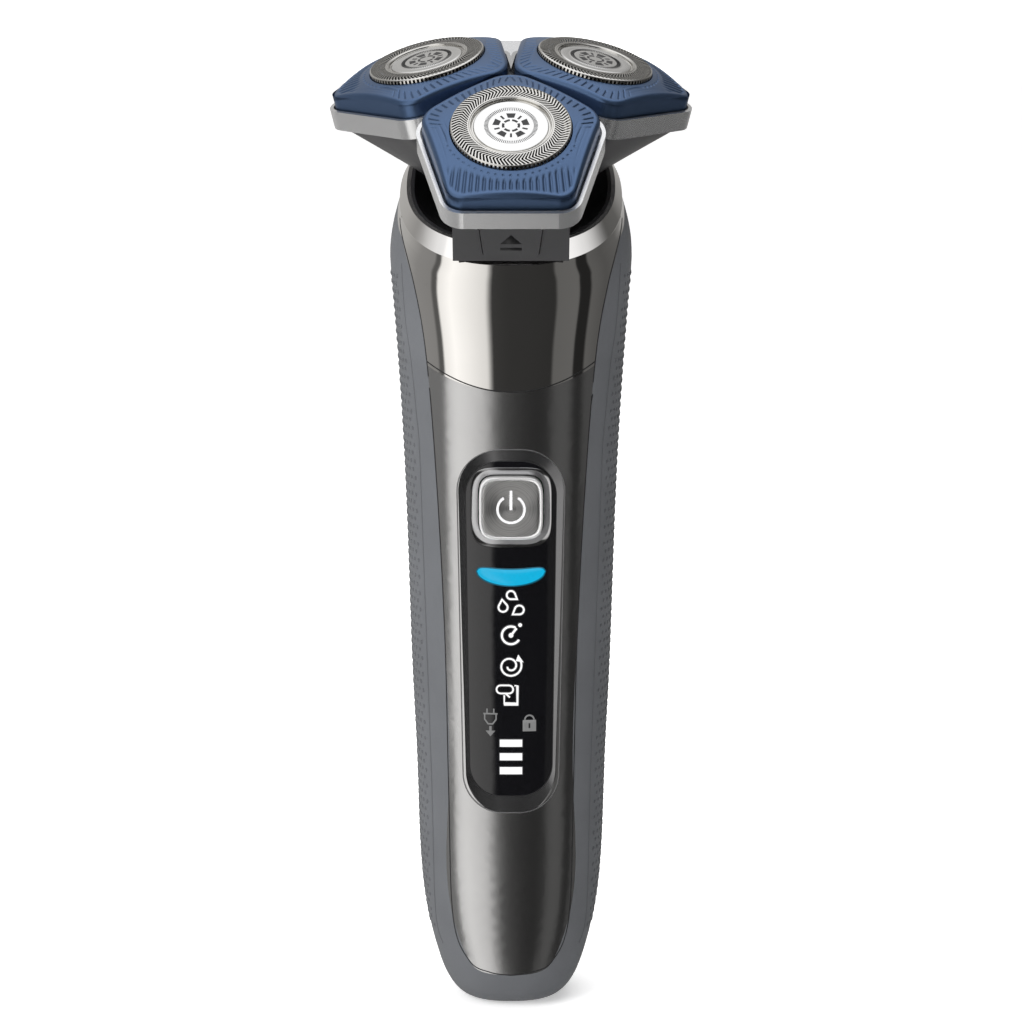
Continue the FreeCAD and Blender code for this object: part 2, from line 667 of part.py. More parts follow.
def planet_parts(lobe):
    """One planet gear and the spindle that turns a cutter."""
    direction = LOBES[lobe]
    axis = V(PLANET_AXIS_RADIUS * math.cos(math.radians(direction)),
             PLANET_AXIS_RADIUS * math.sin(math.radians(direction)), 0)
    wheel = gear(PLANET_TEETH, GEAR_BOTTOM, GEAR_TOP, planet_first_tooth(direction))
    wheel = wheel.cut(cylinder(SPINDLE_FOOT_RADIUS, GEAR_BOTTOM - 1, GEAR_TOP + 1))
    foot = cylinder(SPINDLE_FOOT_RADIUS, GEAR_BOTTOM, GEAR_PLATE_TOP + 0.8)
    stem = cylinder(SPINDLE_RADIUS, GEAR_PLATE_TOP + 0.8, SPINDLE_TIP_CENTRE)
    tip = turned(hexagon(SPINDLE_TIP_FLATS, SPINDLE_TIP_CENTRE - SPINDLE_TIP_HALF,
                         SPINDLE_TIP_CENTRE + SPINDLE_TIP_HALF), Z_AXIS, direction)
    spindle = foot.fuse(stem).fuse(tip)
    return {"planet_gear_" + lobe: in_head(moved(wheel, axis)),
            "spindle_" + lobe: in_head(moved(spindle, axis))}


# ---------------------------------------------------------------- base housing
def funnel_lobe(inset, top, waist_height, waist_radius, lobe):
    """One arm of the base, from a cap-shaped mouth down to the waist, in the head frame."""
    mouth = rounded_wire(offset_corners(CAP_CORNERS, -inset),
                         [max(0.5, radius - inset) for radius in CAP_RADII], top)
    mouth_points = mouth.discretize(Number=41)[:-1]
    placed = [lobe_to_head(Part.Vertex(point), lobe).Point for point in mouth_points]
    angle = math.radians(LOBES[lobe])
    centre = V(BASE_WAIST_SHIFT * math.cos(angle), BASE_WAIST_SHIFT * math.sin(angle), waist_height)
    mouth_centre = V(LOBE_RADIUS * math.cos(angle), LOBE_RADIUS * math.sin(angle), 0)
    ring = []
    for point in placed:
        spoke = V(point.x - mouth_centre.x, point.y - mouth_centre.y, 0)
        spoke.normalize()
        ring.append(centre + spoke * waist_radius)
    return Part.makeLoft([spline_wire(placed), spline_wire(ring)], True, True)


def button_block():
    """Front of the base that carries the release button, in the head frame."""
    half = BUTTON_BLOCK_HALF_WIDTH
    outline = [V(-half, BUTTON_BLOCK_TOP_Y, BUTTON_BLOCK_TOP),
               V(-half, BUTTON_BLOCK_LOW_Y, BUTTON_BLOCK_BOTTOM),
               V(-half, 0, BUTTON_BLOCK_BOTTOM), V(-half, 0, BUTTON_BLOCK_TOP)]
    return Part.Face(Part.makePolygon(outline + [outline[0]])).extrude(V(2 * half, 0, 0))


def hinge_lug(x0, x1, reach_z):
    """Lug around the rear hinge axis, tied to the body by a short arm, in the head frame."""
    knuckle = moved(turned(Part.makeCylinder(HINGE_LUG_RADIUS, x1 - x0), Y_AXIS, 90),
                    V(x0, HINGE_Y, HINGE_Z))
    low = min(HINGE_Z - HINGE_LUG_RADIUS * 0.2, reach_z)
    high = max(HINGE_Z + HINGE_LUG_RADIUS * 0.2, reach_z)
    arm = box(x0, x1, HINGE_Y - HINGE_REACH, HINGE_Y, low, high)
    return knuckle.fuse(arm)


def hinge_bore(x0, x1, radius):
    """Cylinder along the hinge axis, in the head frame."""
    return moved(turned(Part.makeCylinder(radius, x1 - x0), Y_AXIS, 90), V(x0, HINGE_Y, HINGE_Z))


def rim_plane_cutter(gap):
    """Everything below the collar's rim plane, raised by a gap."""
    height, _, _, _, tilt = RIM_SECTION
    slab = box(-FAR, FAR, -FAR, FAR, height - FAR + gap, height + gap)
    return turned(slab, X_AXIS, tilt, V(0, 0, height))


def rim_bevel_cutter(gap):
    """Everything behind the plane of the rim's front bevel, moved out by a gap."""
    rim_height, _, rim_front, _, rim_tilt = RIM_SECTION
    low_height, _, low_front, _, low_tilt = HANDLE_SECTIONS[-1]
    rim_y = -rim_front * math.cos(math.radians(rim_tilt))
    rim_z = rim_height - rim_front * math.sin(math.radians(rim_tilt))
    low_y = -low_front * math.cos(math.radians(low_tilt))
    low_z = low_height - low_front * math.sin(math.radians(low_tilt))
    slope = math.degrees(math.atan2(rim_z - low_z, rim_y - low_y))
    slab = box(-FAR, FAR, rim_y - FAR, rim_y + FAR, rim_z - FAR + gap, rim_z + gap)
    return turned(slab, X_AXIS, slope, V(0, rim_y, rim_z))


def release_pocket_prism(grow, y_front, y_back):
    """Prism along Y with the release button's tapered outline, in the head frame."""
    top = RELEASE_TOP + grow
    low = RELEASE_BOTTOM - grow
    corners = [(-RELEASE_HALF_LOW - grow, low), (RELEASE_HALF_LOW + grow, low),
               (RELEASE_HALF_TOP + grow, top), (-RELEASE_HALF_TOP - grow, top)]
    wire = moved(turned(rounded_wire(corners, [0.7 + grow] * 4, 0.0), X_AXIS, 90), V(0, y_front, 0))
    return Part.Face(wire).extrude(V(0, y_back - y_front, 0))


def block_front_y(height):
    """Front of the button block at a height in the head frame."""
    share = (height - BUTTON_BLOCK_BOTTOM) / (BUTTON_BLOCK_TOP - BUTTON_BLOCK_BOTTOM)
    return BUTTON_BLOCK_LOW_Y + share * (BUTTON_BLOCK_TOP_Y - BUTTON_BLOCK_LOW_Y)


def block_slope():
    """Angle of the button block's front from the drive axis, in degrees."""
    return math.degrees(math.atan2(BUTTON_BLOCK_LOW_Y - BUTTON_BLOCK_TOP_Y,
                                   BUTTON_BLOCK_TOP - BUTTON_BLOCK_BOTTOM))


def release_button():
    """Push button that frees the head frame."""
    middle = (RELEASE_TOP + RELEASE_BOTTOM) / 2.0
    front = block_front_y(middle) - RELEASE_STAND
    button = release_pocket_prism(0.0, front, front + RELEASE_DEPTH)
    button = turned(button, X_AXIS, block_slope(), V(0, front, middle))
    return {"release_button": in_head(button)}


def frame_mouth_cutter(lobe):
    """Everything above the seam between head frame and base, for one lobe."""
    return lobe_to_head(cap_prism(6.0, FRAME_BOTTOM - FRAME_SEAM, 40.0), lobe)


def base_housing():
    """Dark lower shell of the shaving unit: three arms, a neck, a gear floor and hinge lugs."""
    outer = None
    inner = None
    for lobe in LOBES:
        top = FRAME_BOTTOM - FRAME_SEAM
        arm = funnel_lobe(BASE_INSET, top, BASE_WAIST_HEIGHT, BASE_WAIST_RADIUS, lobe)
        space = funnel_lobe(BASE_INSET + BASE_WALL, top + 0.01, BASE_WAIST_HEIGHT + 1.5,
                            BASE_WAIST_RADIUS - BASE_WALL, lobe)
        outer = arm if outer is None else outer.fuse(arm)
        inner = space if inner is None else inner.fuse(space)
    core_height = BASE_CORE_TOP - BASE_WAIST_HEIGHT
    core = Part.makeCone(BASE_WAIST_RADIUS, BASE_CORE_RADIUS, core_height, V(0, 0, BASE_WAIST_HEIGHT))
    core_space = Part.makeCone(BASE_WAIST_RADIUS - BASE_WALL, BASE_CORE_RADIUS - BASE_WALL,
                               core_height, V(0, 0, BASE_WAIST_HEIGHT + 0.01))
    for lobe in LOBES:
        core = core.cut(frame_mouth_cutter(lobe))
    above_web = cylinder(BASE_CORE_RADIUS + 2.0, WEB_BOTTOM - FRAME_SEAM, 10)
    outer = outer.cut(above_web).fuse(core)
    inner = inner.fuse(core_space)
    neck = cylinder(NECK_RADIUS, NECK_BOTTOM, BASE_WAIST_HEIGHT + 2)
    block = button_block()
    for lobe in LOBES:
        block = block.cut(frame_mouth_cutter(lobe))
    outer = outer.fuse(neck).fuse(block)
    gear_room = cylinder(MODULE * (SUN_TEETH / 2.0 + 1) + 0.5, GEAR_FLOOR, GEAR_PLATE_TOP)
    reach = MODULE * (PLANET_TEETH / 2.0 + 1) + 0.5
    for direction in LOBES.values():
        x = PLANET_AXIS_RADIUS * math.cos(math.radians(direction))
        y = PLANET_AXIS_RADIUS * math.sin(math.radians(direction))
        gear_room = gear_room.fuse(cylinder(reach, GEAR_FLOOR, GEAR_PLATE_TOP, x, y))
    above_floor = box(-FAR, FAR, -FAR, FAR, GEAR_PLATE_TOP, FAR)
    hollow = inner.common(above_floor).fuse(gear_room)
    hollow = hollow.fuse(cylinder(BUSH_RADIUS, BUSH_BOTTOM, GEAR_FLOOR + 0.1))
    hollow = hollow.fuse(cylinder(SUN_SHAFT_RADIUS + 0.3, NECK_BOTTOM - 1, GEAR_FLOOR))
    hollow = hollow.fuse(cylinder(NECK_BORE, NECK_BOTTOM + NECK_FLOOR, BUSH_BOTTOM - 2.0))
    hollow = hollow.fuse(cylinder(SUN_SOCKET_RADIUS + 0.4, NECK_BOTTOM - 1, NECK_BOTTOM + 2))
    housing = outer.cut(hollow)
    housing = housing.cut(release_room())
    lugs = hinge_lug(HINGE_BASE_INNER, HINGE_BASE_OUTER, HINGE_Z - 3.0).fuse(
        hinge_lug(-HINGE_BASE_OUTER, -HINGE_BASE_INNER, HINGE_Z - 3.0))
    arms = box(-HINGE_BASE_OUTER, HINGE_BASE_OUTER, HINGE_Y - HINGE_REACH - 4, HINGE_Y - 3.5,
               HINGE_Z - 3.0, HINGE_Z - 1.6)
    lugs = lugs.fuse(arms)
    for lobe in LOBES:
        lugs = lugs.cut(frame_mouth_cutter(lobe))
    lugs = lugs.cut(inner.common(above_floor)).cut(gear_room)
    housing = housing.fuse(lugs)
    housing = housing.cut(hinge_bore(-HINGE_PIN_HALF, HINGE_PIN_HALF, HINGE_PIN_RADIUS))
    housing = in_head(housing)
    block_zone = in_head(box(-40, 40, -40, -NECK_RADIUS - 0.8, -40, 0))
    rim_room = rim_plane_cutter(RIM_ROOM).common(rim_bevel_cutter(RIM_ROOM))
    return housing.cut(rim_room.common(block_zone))


def release_room():
    """Pocket of the release button, deep enough for its travel, in the head frame."""
    middle = (RELEASE_TOP + RELEASE_BOTTOM) / 2.0
    front = block_front_y(middle)
    pocket = release_pocket_prism(RELEASE_GAP, front - 3.0, front - RELEASE_STAND + RELEASE_POCKET)
    return turned(pocket, X_AXIS, block_slope(), V(0, front, middle))


def gear_parts():
    """Plate over the gears and the bush that guides the sun shaft."""
    plate_room = cylinder(MODULE * (SUN_TEETH / 2.0 + 1) + 0.45, GEAR_PLATE_BOTTOM, GEAR_PLATE_TOP)
    reach = MODULE * (PLANET_TEETH / 2.0 + 1) + 0.45
    holes = None
    for direction in LOBES.values():
        x = PLANET_AXIS_RADIUS * math.cos(math.radians(direction))
        y = PLANET_AXIS_RADIUS * math.sin(math.radians(direction))
        plate_room = plate_room.fuse(cylinder(reach, GEAR_PLATE_BOTTOM, GEAR_PLATE_TOP, x, y))
        hole = cylinder(SPINDLE_FOOT_RADIUS + RUNNING_CLEARANCE, -20, 0, x, y)
        holes = hole if holes is None else holes.fuse(hole)
    plate = plate_room.cut(holes)
    bush = tube(BUSH_RADIUS, SUN_SHAFT_RADIUS + RUNNING_CLEARANCE, BUSH_BOTTOM, BUSH_TOP)
    pin = hinge_bore(-HINGE_PIN_HALF, HINGE_PIN_HALF, HINGE_PIN_RADIUS)
    seal = tube(NECK_RADIUS + SEAL_STAND, NECK_RADIUS, SEAL_LOW, SEAL_LOW + SEAL_HEIGHT)
    return {"gear_plate": in_head(plate), "shaft_bush": in_head(bush), "hinge_pin": in_head(pin),
            "neck_seal": in_head(seal)}


# ---------------------------------------------------------------- head frame and holders
def head_frame():
    """Silver three-armed frame that carries the caps and opens on the rear hinge, in the head frame."""
    body = None
    pockets = None
    ears = None
    for lobe in LOBES:
        cup = lobe_to_head(cap_prism(FRAME_OUTSET, FRAME_BOTTOM, FRAME_TOP), lobe)
        pocket = lobe_to_head(cap_prism(FRAME_POCKET_GAP, FRAME_FLOOR, 5.0).fuse(
            cylinder(FRAME_WINDOW_RADIUS, FRAME_BOTTOM - 1, 0)), lobe)
        body = cup if body is None else body.fuse(cup)
        pockets = pocket if pockets is None else pockets.fuse(pocket)
        for side in (-1, 1):
            y0, y1 = sorted((side * EAR_INNER, side * EAR_OUTER))
            ear = box(-EAR_HALF_WIDTH, EAR_HALF_WIDTH, y0, y1, FRAME_FLOOR - EAR_ROOT,
                      PIVOT_DEPTH + EAR_RISE)
            eye = moved(turned(Part.makeCylinder(PIVOT_RADIUS + PIVOT_CLEARANCE, 3), X_AXIS, -90),
                        V(0, y0 - 1, PIVOT_DEPTH))
            ear = lobe_to_head(ear.cut(eye), lobe)
            ears = ear if ears is None else ears.fuse(ear)
    body = body.fuse(cylinder(WEB_RADIUS, WEB_BOTTOM, WEB_TOP))
    frame = body.cut(pockets).fuse(ears)
    lug = hinge_lug(-HINGE_FRAME_HALF, HINGE_FRAME_HALF, HINGE_Z + HINGE_RISE)
    for lobe in LOBES:
        below = lobe_to_head(cap_prism(0.0, -40.0, FRAME_BOTTOM + 0.05), lobe)
        lug = lug.cut(below)
    lug = lug.cut(pockets)
    frame = frame.fuse(lug)
    frame = frame.cut(hinge_bore(-10, 10, HINGE_PIN_RADIUS + RUNNING_CLEARANCE))
    return largest_solid(frame)


def largest_solid(shape):
    """The biggest solid of a shape, without the crumbs that a cut leaves."""
    return max(shape.Solids, key=lambda solid: solid.Volume)


def centre_hub(frame):
    """Three-armed post that fills the gap between the caps."""
    post = None
    for direction in (90.0, 210.0, 330.0):
        arm = turned(box(0, HUB_ARM_LENGTH, -HUB_ARM_WIDTH / 2.0, HUB_ARM_WIDTH / 2.0,
                         HUB_BOTTOM, HUB_TOP), Z_AXIS, direction)
        post = arm if post is None else post.fuse(arm)
    for lobe in LOBES:
        post = post.cut(lobe_to_head(cap_prism(FRAME_POCKET_GAP, FRAME_FLOOR, 10.0), lobe))
    return largest_solid(post.cut(frame))


def sector_cutter(lobe):
    """Wedge of the head that one lobe may fill, less a margin at its two side planes."""
    apex = SECTOR_MARGIN / math.sin(math.radians(60.0))
    far = 80.0
    points = [V(apex, 0, -40), V(apex + far * 0.5, far * math.sin(math.radians(60.0)), -40),
              V(apex + far, 0, -40), V(apex + far * 0.5, -far * math.sin(math.radians(60.0)), -40)]
    wedge = Part.Face(Part.makePolygon(points + [points[0]])).extrude(V(0, 0, 80))
    return turned(wedge, Z_AXIS, LOBES[lobe])


def head_cap(lobe):
    """Blue domed cap with its pivots, hollow below and bored for the guard."""
    cap = cap_prism(0.0, CAP_BOTTOM, 1.0)
    dome = Part.makeSphere(CAP_DOME_RADIUS, V(0, 0, CAP_DOME_TOP - CAP_DOME_RADIUS))
    cap = cap.common(dome)
    rim_edges = [edge for edge in cap.Edges if edge.BoundBox.ZMin > CAP_BOTTOM + 1.5
                 and edge.BoundBox.ZMax < CAP_DOME_TOP and edge.Length > 0.5
                 and edge.BoundBox.ZLength < 2.4]
    cap = cap.makeFillet(CAP_EDGE_ROUND, rim_edges)
    cap = cap.cut(cap_prism(-CAP_WALL, CAP_BOTTOM - 1, CAP_ROOF_UNDERSIDE))
    cap = cap.cut(cylinder(RING_RADIUS + SEAT_PLAY, CAP_BOTTOM - 1, 5))
    cap = cap.cut(cylinder(GUARD_FLANGE_RADIUS + SEAT_PLAY, CAP_BOTTOM - 1, GUARD_FLANGE_TOP))
    for side in (-1, 1):
        pin = turned(Part.makeCylinder(PIVOT_RADIUS, PIVOT_LENGTH), X_AXIS, -90 * side)
        cap = cap.fuse(moved(pin, V(0, side * PIVOT_INNER, PIVOT_DEPTH)))
    placed = lobe_to_head(cap, lobe).common(sector_cutter(lobe))
    return in_head(placed)


def guard_ring(lobe):
    """Slotted guard: a thin track with a skirt, a polished groove and a flange."""
    groove_under = -GUARD_GROOVE_DEPTH - GUARD_GROOVE_SHEET
    outline = [(GUARD_DISC_RADIUS, -GUARD_GROOVE_DEPTH), (GUARD_TRACK_INNER, -GUARD_GROOVE_DEPTH),
               (GUARD_TRACK_INNER + 0.1, 0.0), (RING_RADIUS - 0.35, 0.0), (RING_RADIUS, -0.35),
               (RING_RADIUS, GUARD_FLANGE_TOP), (GUARD_FLANGE_RADIUS, GUARD_FLANGE_TOP),
               (GUARD_FLANGE_RADIUS, GUARD_FLANGE_BOTTOM), (RING_RADIUS - GUARD_WALL, GUARD_FLANGE_BOTTOM),
               (RING_RADIUS - GUARD_WALL, -GUARD_TRACK_THICKNESS),
               (GUARD_TRACK_INNER, -GUARD_TRACK_THICKNESS),
               (GUARD_TRACK_INNER, groove_under), (GUARD_DISC_RADIUS, groove_under)]
    points = [V(x, 0, z) for x, z in outline]
    guard = Part.Face(Part.makePolygon(points + [points[0]])).revolve(ORIGIN, Z_AXIS, 360)
    slots = []
    for i in range(GUARD_SLOTS):
        slot = box(GUARD_TRACK_INNER + 0.4, RING_RADIUS - 0.7, -GUARD_SLOT_WIDTH / 2.0,
                   GUARD_SLOT_WIDTH / 2.0, -1, 1)
        slots.append(turned(slot, Z_AXIS, 360.0 * i / GUARD_SLOTS))
    guard = guard.cut(Part.makeCompound(slots))
    disc = cylinder(GUARD_DISC_RADIUS - SEAT_PLAY, GUARD_DISC_BOTTOM, GUARD_DISC_TOP)
    return {"guard_ring_" + lobe: in_lobe(guard, lobe), "guard_disc_" + lobe: in_lobe(disc, lobe)}


def cutter(lobe):
    """Cutter wheel with raked blades and a six-sided drive socket."""
    plate = cylinder(BLADE_OUTER, CUTTER_PLATE_BOTTOM, CUTTER_PLATE_TOP)
    plate = plate.fuse(cylinder(CUTTER_BOSS_RADIUS, CUTTER_BOSS_BOTTOM, CUTTER_PLATE_TOP))
    vents = []
    for i in range(6):
        vents.append(turned(cylinder(1.1, -6, 0, (CUTTER_BOSS_RADIUS + BLADE_INNER) / 2.0 - 0.1, 0),
                            Z_AXIS, 60.0 * i))
    plate = plate.cut(Part.makeCompound(vents))
    plate = plate.cut(hexagon(SOCKET_FLATS, CUTTER_BOSS_BOTTOM - 1, SOCKET_ROOF))
    blades = []
    for i in range(BLADES):
        blade = box(BLADE_INNER, BLADE_OUTER - 0.1, -BLADE_THICKNESS / 2.0, BLADE_THICKNESS / 2.0,
                    CUTTER_PLATE_TOP - 0.2, BLADE_TOP)
        blade = turned(blade, Z_AXIS, BLADE_RAKE, V((BLADE_INNER + BLADE_OUTER) / 2.0, 0, 0))
        blades.append(turned(blade, Z_AXIS, 360.0 * i / BLADES))
    return {"cutter_" + lobe: in_lobe(plate.fuse(blades), lobe)}


def retainer(lobe):
    """Ring with three spokes that keeps the cutter and guard in the cap."""
    ring = tube(RETAINER_OUTER, RETAINER_INNER, RETAINER_BOTTOM, RETAINER_TOP)
    hub = tube(RETAINER_HUB_OUTER, RETAINER_HUB_INNER, RETAINER_HUB_BOTTOM, RETAINER_HUB_TOP)
    for i in range(3):
        spoke = box(RETAINER_HUB_INNER + 0.5, RETAINER_OUTER - 0.4, -RETAINER_SPOKE_WIDTH / 2.0,
                    RETAINER_SPOKE_WIDTH / 2.0, RETAINER_BOTTOM - 0.2, RETAINER_HUB_TOP)
        hub = hub.fuse(turned(spoke, Z_AXIS, 120.0 * i + 60.0))
    return {"retainer_" + lobe: in_lobe(ring.fuse(hub), lobe)}


def build():
    """Every node of the shaver, by name."""
    bodies = {inset: handle_body(inset)
              for inset in (0.0, SHELL_WALL, LENS_INSET, LENS_INSET + LENS_THICKNESS,
                            LENS_INSET + LENS_THICKNESS + BEZEL_THICKNESS)}
    nodes = {}
    nodes.update(handle_shells(bodies))
    nodes.update(display_parts(bodies))
    nodes["power_button"] = power_button()
    nodes["collar_liner"] = collar_liner(bodies)
    nodes.update(motor_parts())
    nodes.update(motor_drive())
    nodes.update(power_train(bodies))
    nodes.update(charging_inlet())
    nodes["base_housing"] = base_housing()
    nodes.update(gear_parts())
    nodes["sun_gear"] = sun_gear()
    nodes.update(release_button())
    frame = head_frame()
    nodes["head_frame"] = in_head(frame)
    nodes["centre_hub"] = in_head(centre_hub(frame))
    for lobe in LOBES:
        nodes.update(planet_parts(lobe))
        nodes["head_cap_" + lobe] = head_cap(lobe)
        nodes.update(guard_ring(lobe))
        nodes.update(cutter(lobe))
        nodes.update(retainer(lobe))
    return nodes


def main():
    os.makedirs("parts", exist_ok=True)
    for name, shape in build().items():
        shape.exportStep(os.path.join("parts", name + ".step"))
        state = "" if shape.isValid() else "  INVALID"
        print("%-20s %3d solids %10.2f mm3%s" % (name, len(shape.Solids), shape.Volume, state))


main()
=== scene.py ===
"""Looks of the rotary shaver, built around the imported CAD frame. Lengths are written in millimetres."""
import math

import bpy
from mathutils import Matrix, Vector
from mathutils.bvhtree import BVHTree
from mathutils.geometry import tessellate_polygon


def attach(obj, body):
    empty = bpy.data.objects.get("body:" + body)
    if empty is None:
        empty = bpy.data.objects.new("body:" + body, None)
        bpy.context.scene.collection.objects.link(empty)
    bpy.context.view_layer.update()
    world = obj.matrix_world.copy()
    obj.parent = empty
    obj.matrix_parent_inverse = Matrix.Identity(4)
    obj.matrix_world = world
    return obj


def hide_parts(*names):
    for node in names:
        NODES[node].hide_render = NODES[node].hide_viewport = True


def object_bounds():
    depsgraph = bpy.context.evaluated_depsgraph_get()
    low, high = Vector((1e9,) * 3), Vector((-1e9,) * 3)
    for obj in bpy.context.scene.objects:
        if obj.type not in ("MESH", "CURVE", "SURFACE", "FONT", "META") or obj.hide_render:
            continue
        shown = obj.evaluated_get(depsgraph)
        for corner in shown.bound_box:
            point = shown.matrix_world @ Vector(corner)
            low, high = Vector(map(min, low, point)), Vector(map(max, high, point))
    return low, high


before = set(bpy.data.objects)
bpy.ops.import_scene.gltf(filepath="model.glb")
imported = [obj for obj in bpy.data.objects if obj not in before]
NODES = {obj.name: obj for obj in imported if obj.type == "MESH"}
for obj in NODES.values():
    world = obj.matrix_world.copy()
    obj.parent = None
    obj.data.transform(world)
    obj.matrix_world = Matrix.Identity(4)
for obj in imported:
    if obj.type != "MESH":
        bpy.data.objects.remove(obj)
cad_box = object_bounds()
MM = 0.001

# ---------------------------------------------------------------- head layout, as in the CAD
HEAD_CENTRE = (0.0, -7.0, 161.5)
HEAD_LEAN = 24.4
LOBE_RADIUS = 16.63
LOBE_TILT = 14.6
LOBES = {"front": -90.0, "right": 30.0, "left": 150.0}
CAP_CORNERS = [(-16.4, 0.0), (-5.2, -15.2), (14.8, -10.0), (14.8, 10.0), (-5.2, 15.2)]
CAP_RADII = [5.0, 4.0, 3.0, 3.0, 4.0]
CAP_BOTTOM = -6.0
DOME_RADIUS = 45.0
DOME_TOP = 0.42
SECTOR_MARGIN = 0.6
RING_RADIUS = 10.0

# ---------------------------------------------------------------- display and button, as in the CAD
POWER_Z = 90.5
POWER_FRONT_Y = -18.3
POWER_BACK_Y = -15.2
POWER_SIZE = 10.8
SURROUND_SIZE = 13.8
SQUIRCLE_POWER = 4.6
# Tapered oblongs: half-width at the top, half-width at the bottom, top, bottom, corner radius.
RECESS_OUTLINE = (9.15, 8.05, 100.45, 37.05, 7.3)
RIM_OUTLINE = (9.25, 8.15, 100.55, 36.95, 7.35)
LENS_OUTLINE = (7.78, 7.08, 98.48, 39.72, 6.1)

# ---------------------------------------------------------------- handle, as in the CAD
SECTION_POWER = 2.4
# Cross-sections of the handle's upper half: height, half-width, front depth, tilt in degrees.
COLLAR_SECTIONS = [(82.0, 17.85, 17.5, 0.0), (106.0, 18.85, 18.9, 0.0), (120.0, 19.75, 20.2, 8.0),
                   (131.0, 20.65, 21.0, 17.0), (136.3, 20.25, 21.6, 22.0), (139.2, 19.4, 21.9, 25.0),
                   (141.9, 19.0, 22.2, 28.0)]
WINDOW_SIDE = [(18.9, 139.3), (18.5, 136.0), (16.1, 127.4), (14.2, 116.0), (12.6, 95.0), (11.3, 68.0),
               (10.75, 40.0), (10.1, 17.0), (7.3, 9.0), (3.6, 7.0), (0.0, 6.5)]
COLLAR_SEAM_CENTRE = 110.4
COLLAR_SEAM_RISE = 4.8
COLLAR_SEAM_HALF = 14.3
BEFORE_ALL = -60.0                 # Y from which rays look back at the front


# ---------------------------------------------------------------- material nodes
def new_material(name, colour, roughness, metallic=0.0, **values):
    """Principled material; extra values go straight on the shader's sockets."""
    mat = bpy.data.materials.new(name)
    mat.use_nodes = True
    shader = mat.node_tree.nodes["Principled BSDF"]
    shader.inputs["Base Color"].default_value = (*colour, 1.0)
    shader.inputs["Roughness"].default_value = roughness
    shader.inputs["Metallic"].default_value = metallic
    for key, value in values.items():
        shader.inputs[key.replace("_", " ")].default_value = value
    return mat


def add(mat, kind, **settings):
    """New node in a material or world; settings name its inputs or attributes."""
    node = mat.node_tree.nodes.new(kind)
    for key, value in settings.items():
        socket = key.replace("_", " ")
        if socket in node.inputs:
            node.inputs[socket].default_value = value
        else:
            setattr(node, key, value)
    return node


def join(mat, source, target):
    """Link between two sockets."""
    mat.node_tree.links.new(source, target)


def shader_of(mat):
    """The material's principled shader."""
    return mat.node_tree.nodes["Principled BSDF"]


def coordinates(mat):
    """Object coordinates in millimetres."""
    texture = add(mat, "ShaderNodeTexCoord")
    mapping = add(mat, "ShaderNodeMapping", Scale=[1.0 / MM] * 3)
    join(mat, texture.outputs["Object"], mapping.inputs["Vector"])
    return mapping.outputs["Vector"]


def noise(mat, vector, scale, detail=2.0):
    """Noise with grains of about 1/scale millimetres."""
    node = add(mat, "ShaderNodeTexNoise", Scale=scale, Detail=detail)
    join(mat, vector, node.inputs["Vector"])
    return node.outputs["Fac"]


def ramp(mat, factor, low, high, start=0.3, end=0.7):
    """Colour between two tones, driven by a factor."""
    node = add(mat, "ShaderNodeValToRGB")
    for element, place, colour in zip(node.color_ramp.elements, (start, end), (low, high)):
        element.position = place
        element.color = (*colour, 1.0)
    join(mat, factor, node.inputs["Fac"])
    return node.outputs["Color"]


def spread(mat, factor, low, high):
    """Number between low and high, driven by a factor."""
    node = add(mat, "ShaderNodeMapRange", From_Min=0.3, From_Max=0.7, To_Min=low, To_Max=high)
    join(mat, factor, node.inputs["Value"])
    return node.outputs["Result"]


def bump(mat, height, strength, distance):
    """Relief of the shading normal, with its depth in millimetres."""
    node = add(mat, "ShaderNodeBump", Strength=strength, Distance=distance * MM)
    join(mat, height, node.inputs["Height"])
    join(mat, node.outputs["Normal"], shader_of(mat).inputs["Normal"])


def grained(name, colour, vary, roughness, rough_vary, grain, depth, metallic=0.0,
            cloud=0.08, **values):
    """Material with cloudy colour, uneven roughness and a fine grain."""
    mat = new_material(name, colour, roughness, metallic, **values)
    vector = coordinates(mat)
    broad = noise(mat, vector, cloud, 3.0)
    fine = noise(mat, vector, grain)
    low = [channel * (1.0 - vary) for channel in colour]
    high = [min(1.0, channel * (1.0 + vary)) for channel in colour]
    join(mat, ramp(mat, broad, low, high), shader_of(mat).inputs["Base Color"])
    join(mat, spread(mat, fine, max(0.02, roughness - rough_vary), roughness + rough_vary),
         shader_of(mat).inputs["Roughness"])
    if depth:
        bump(mat, fine, 0.5, depth)
    return mat


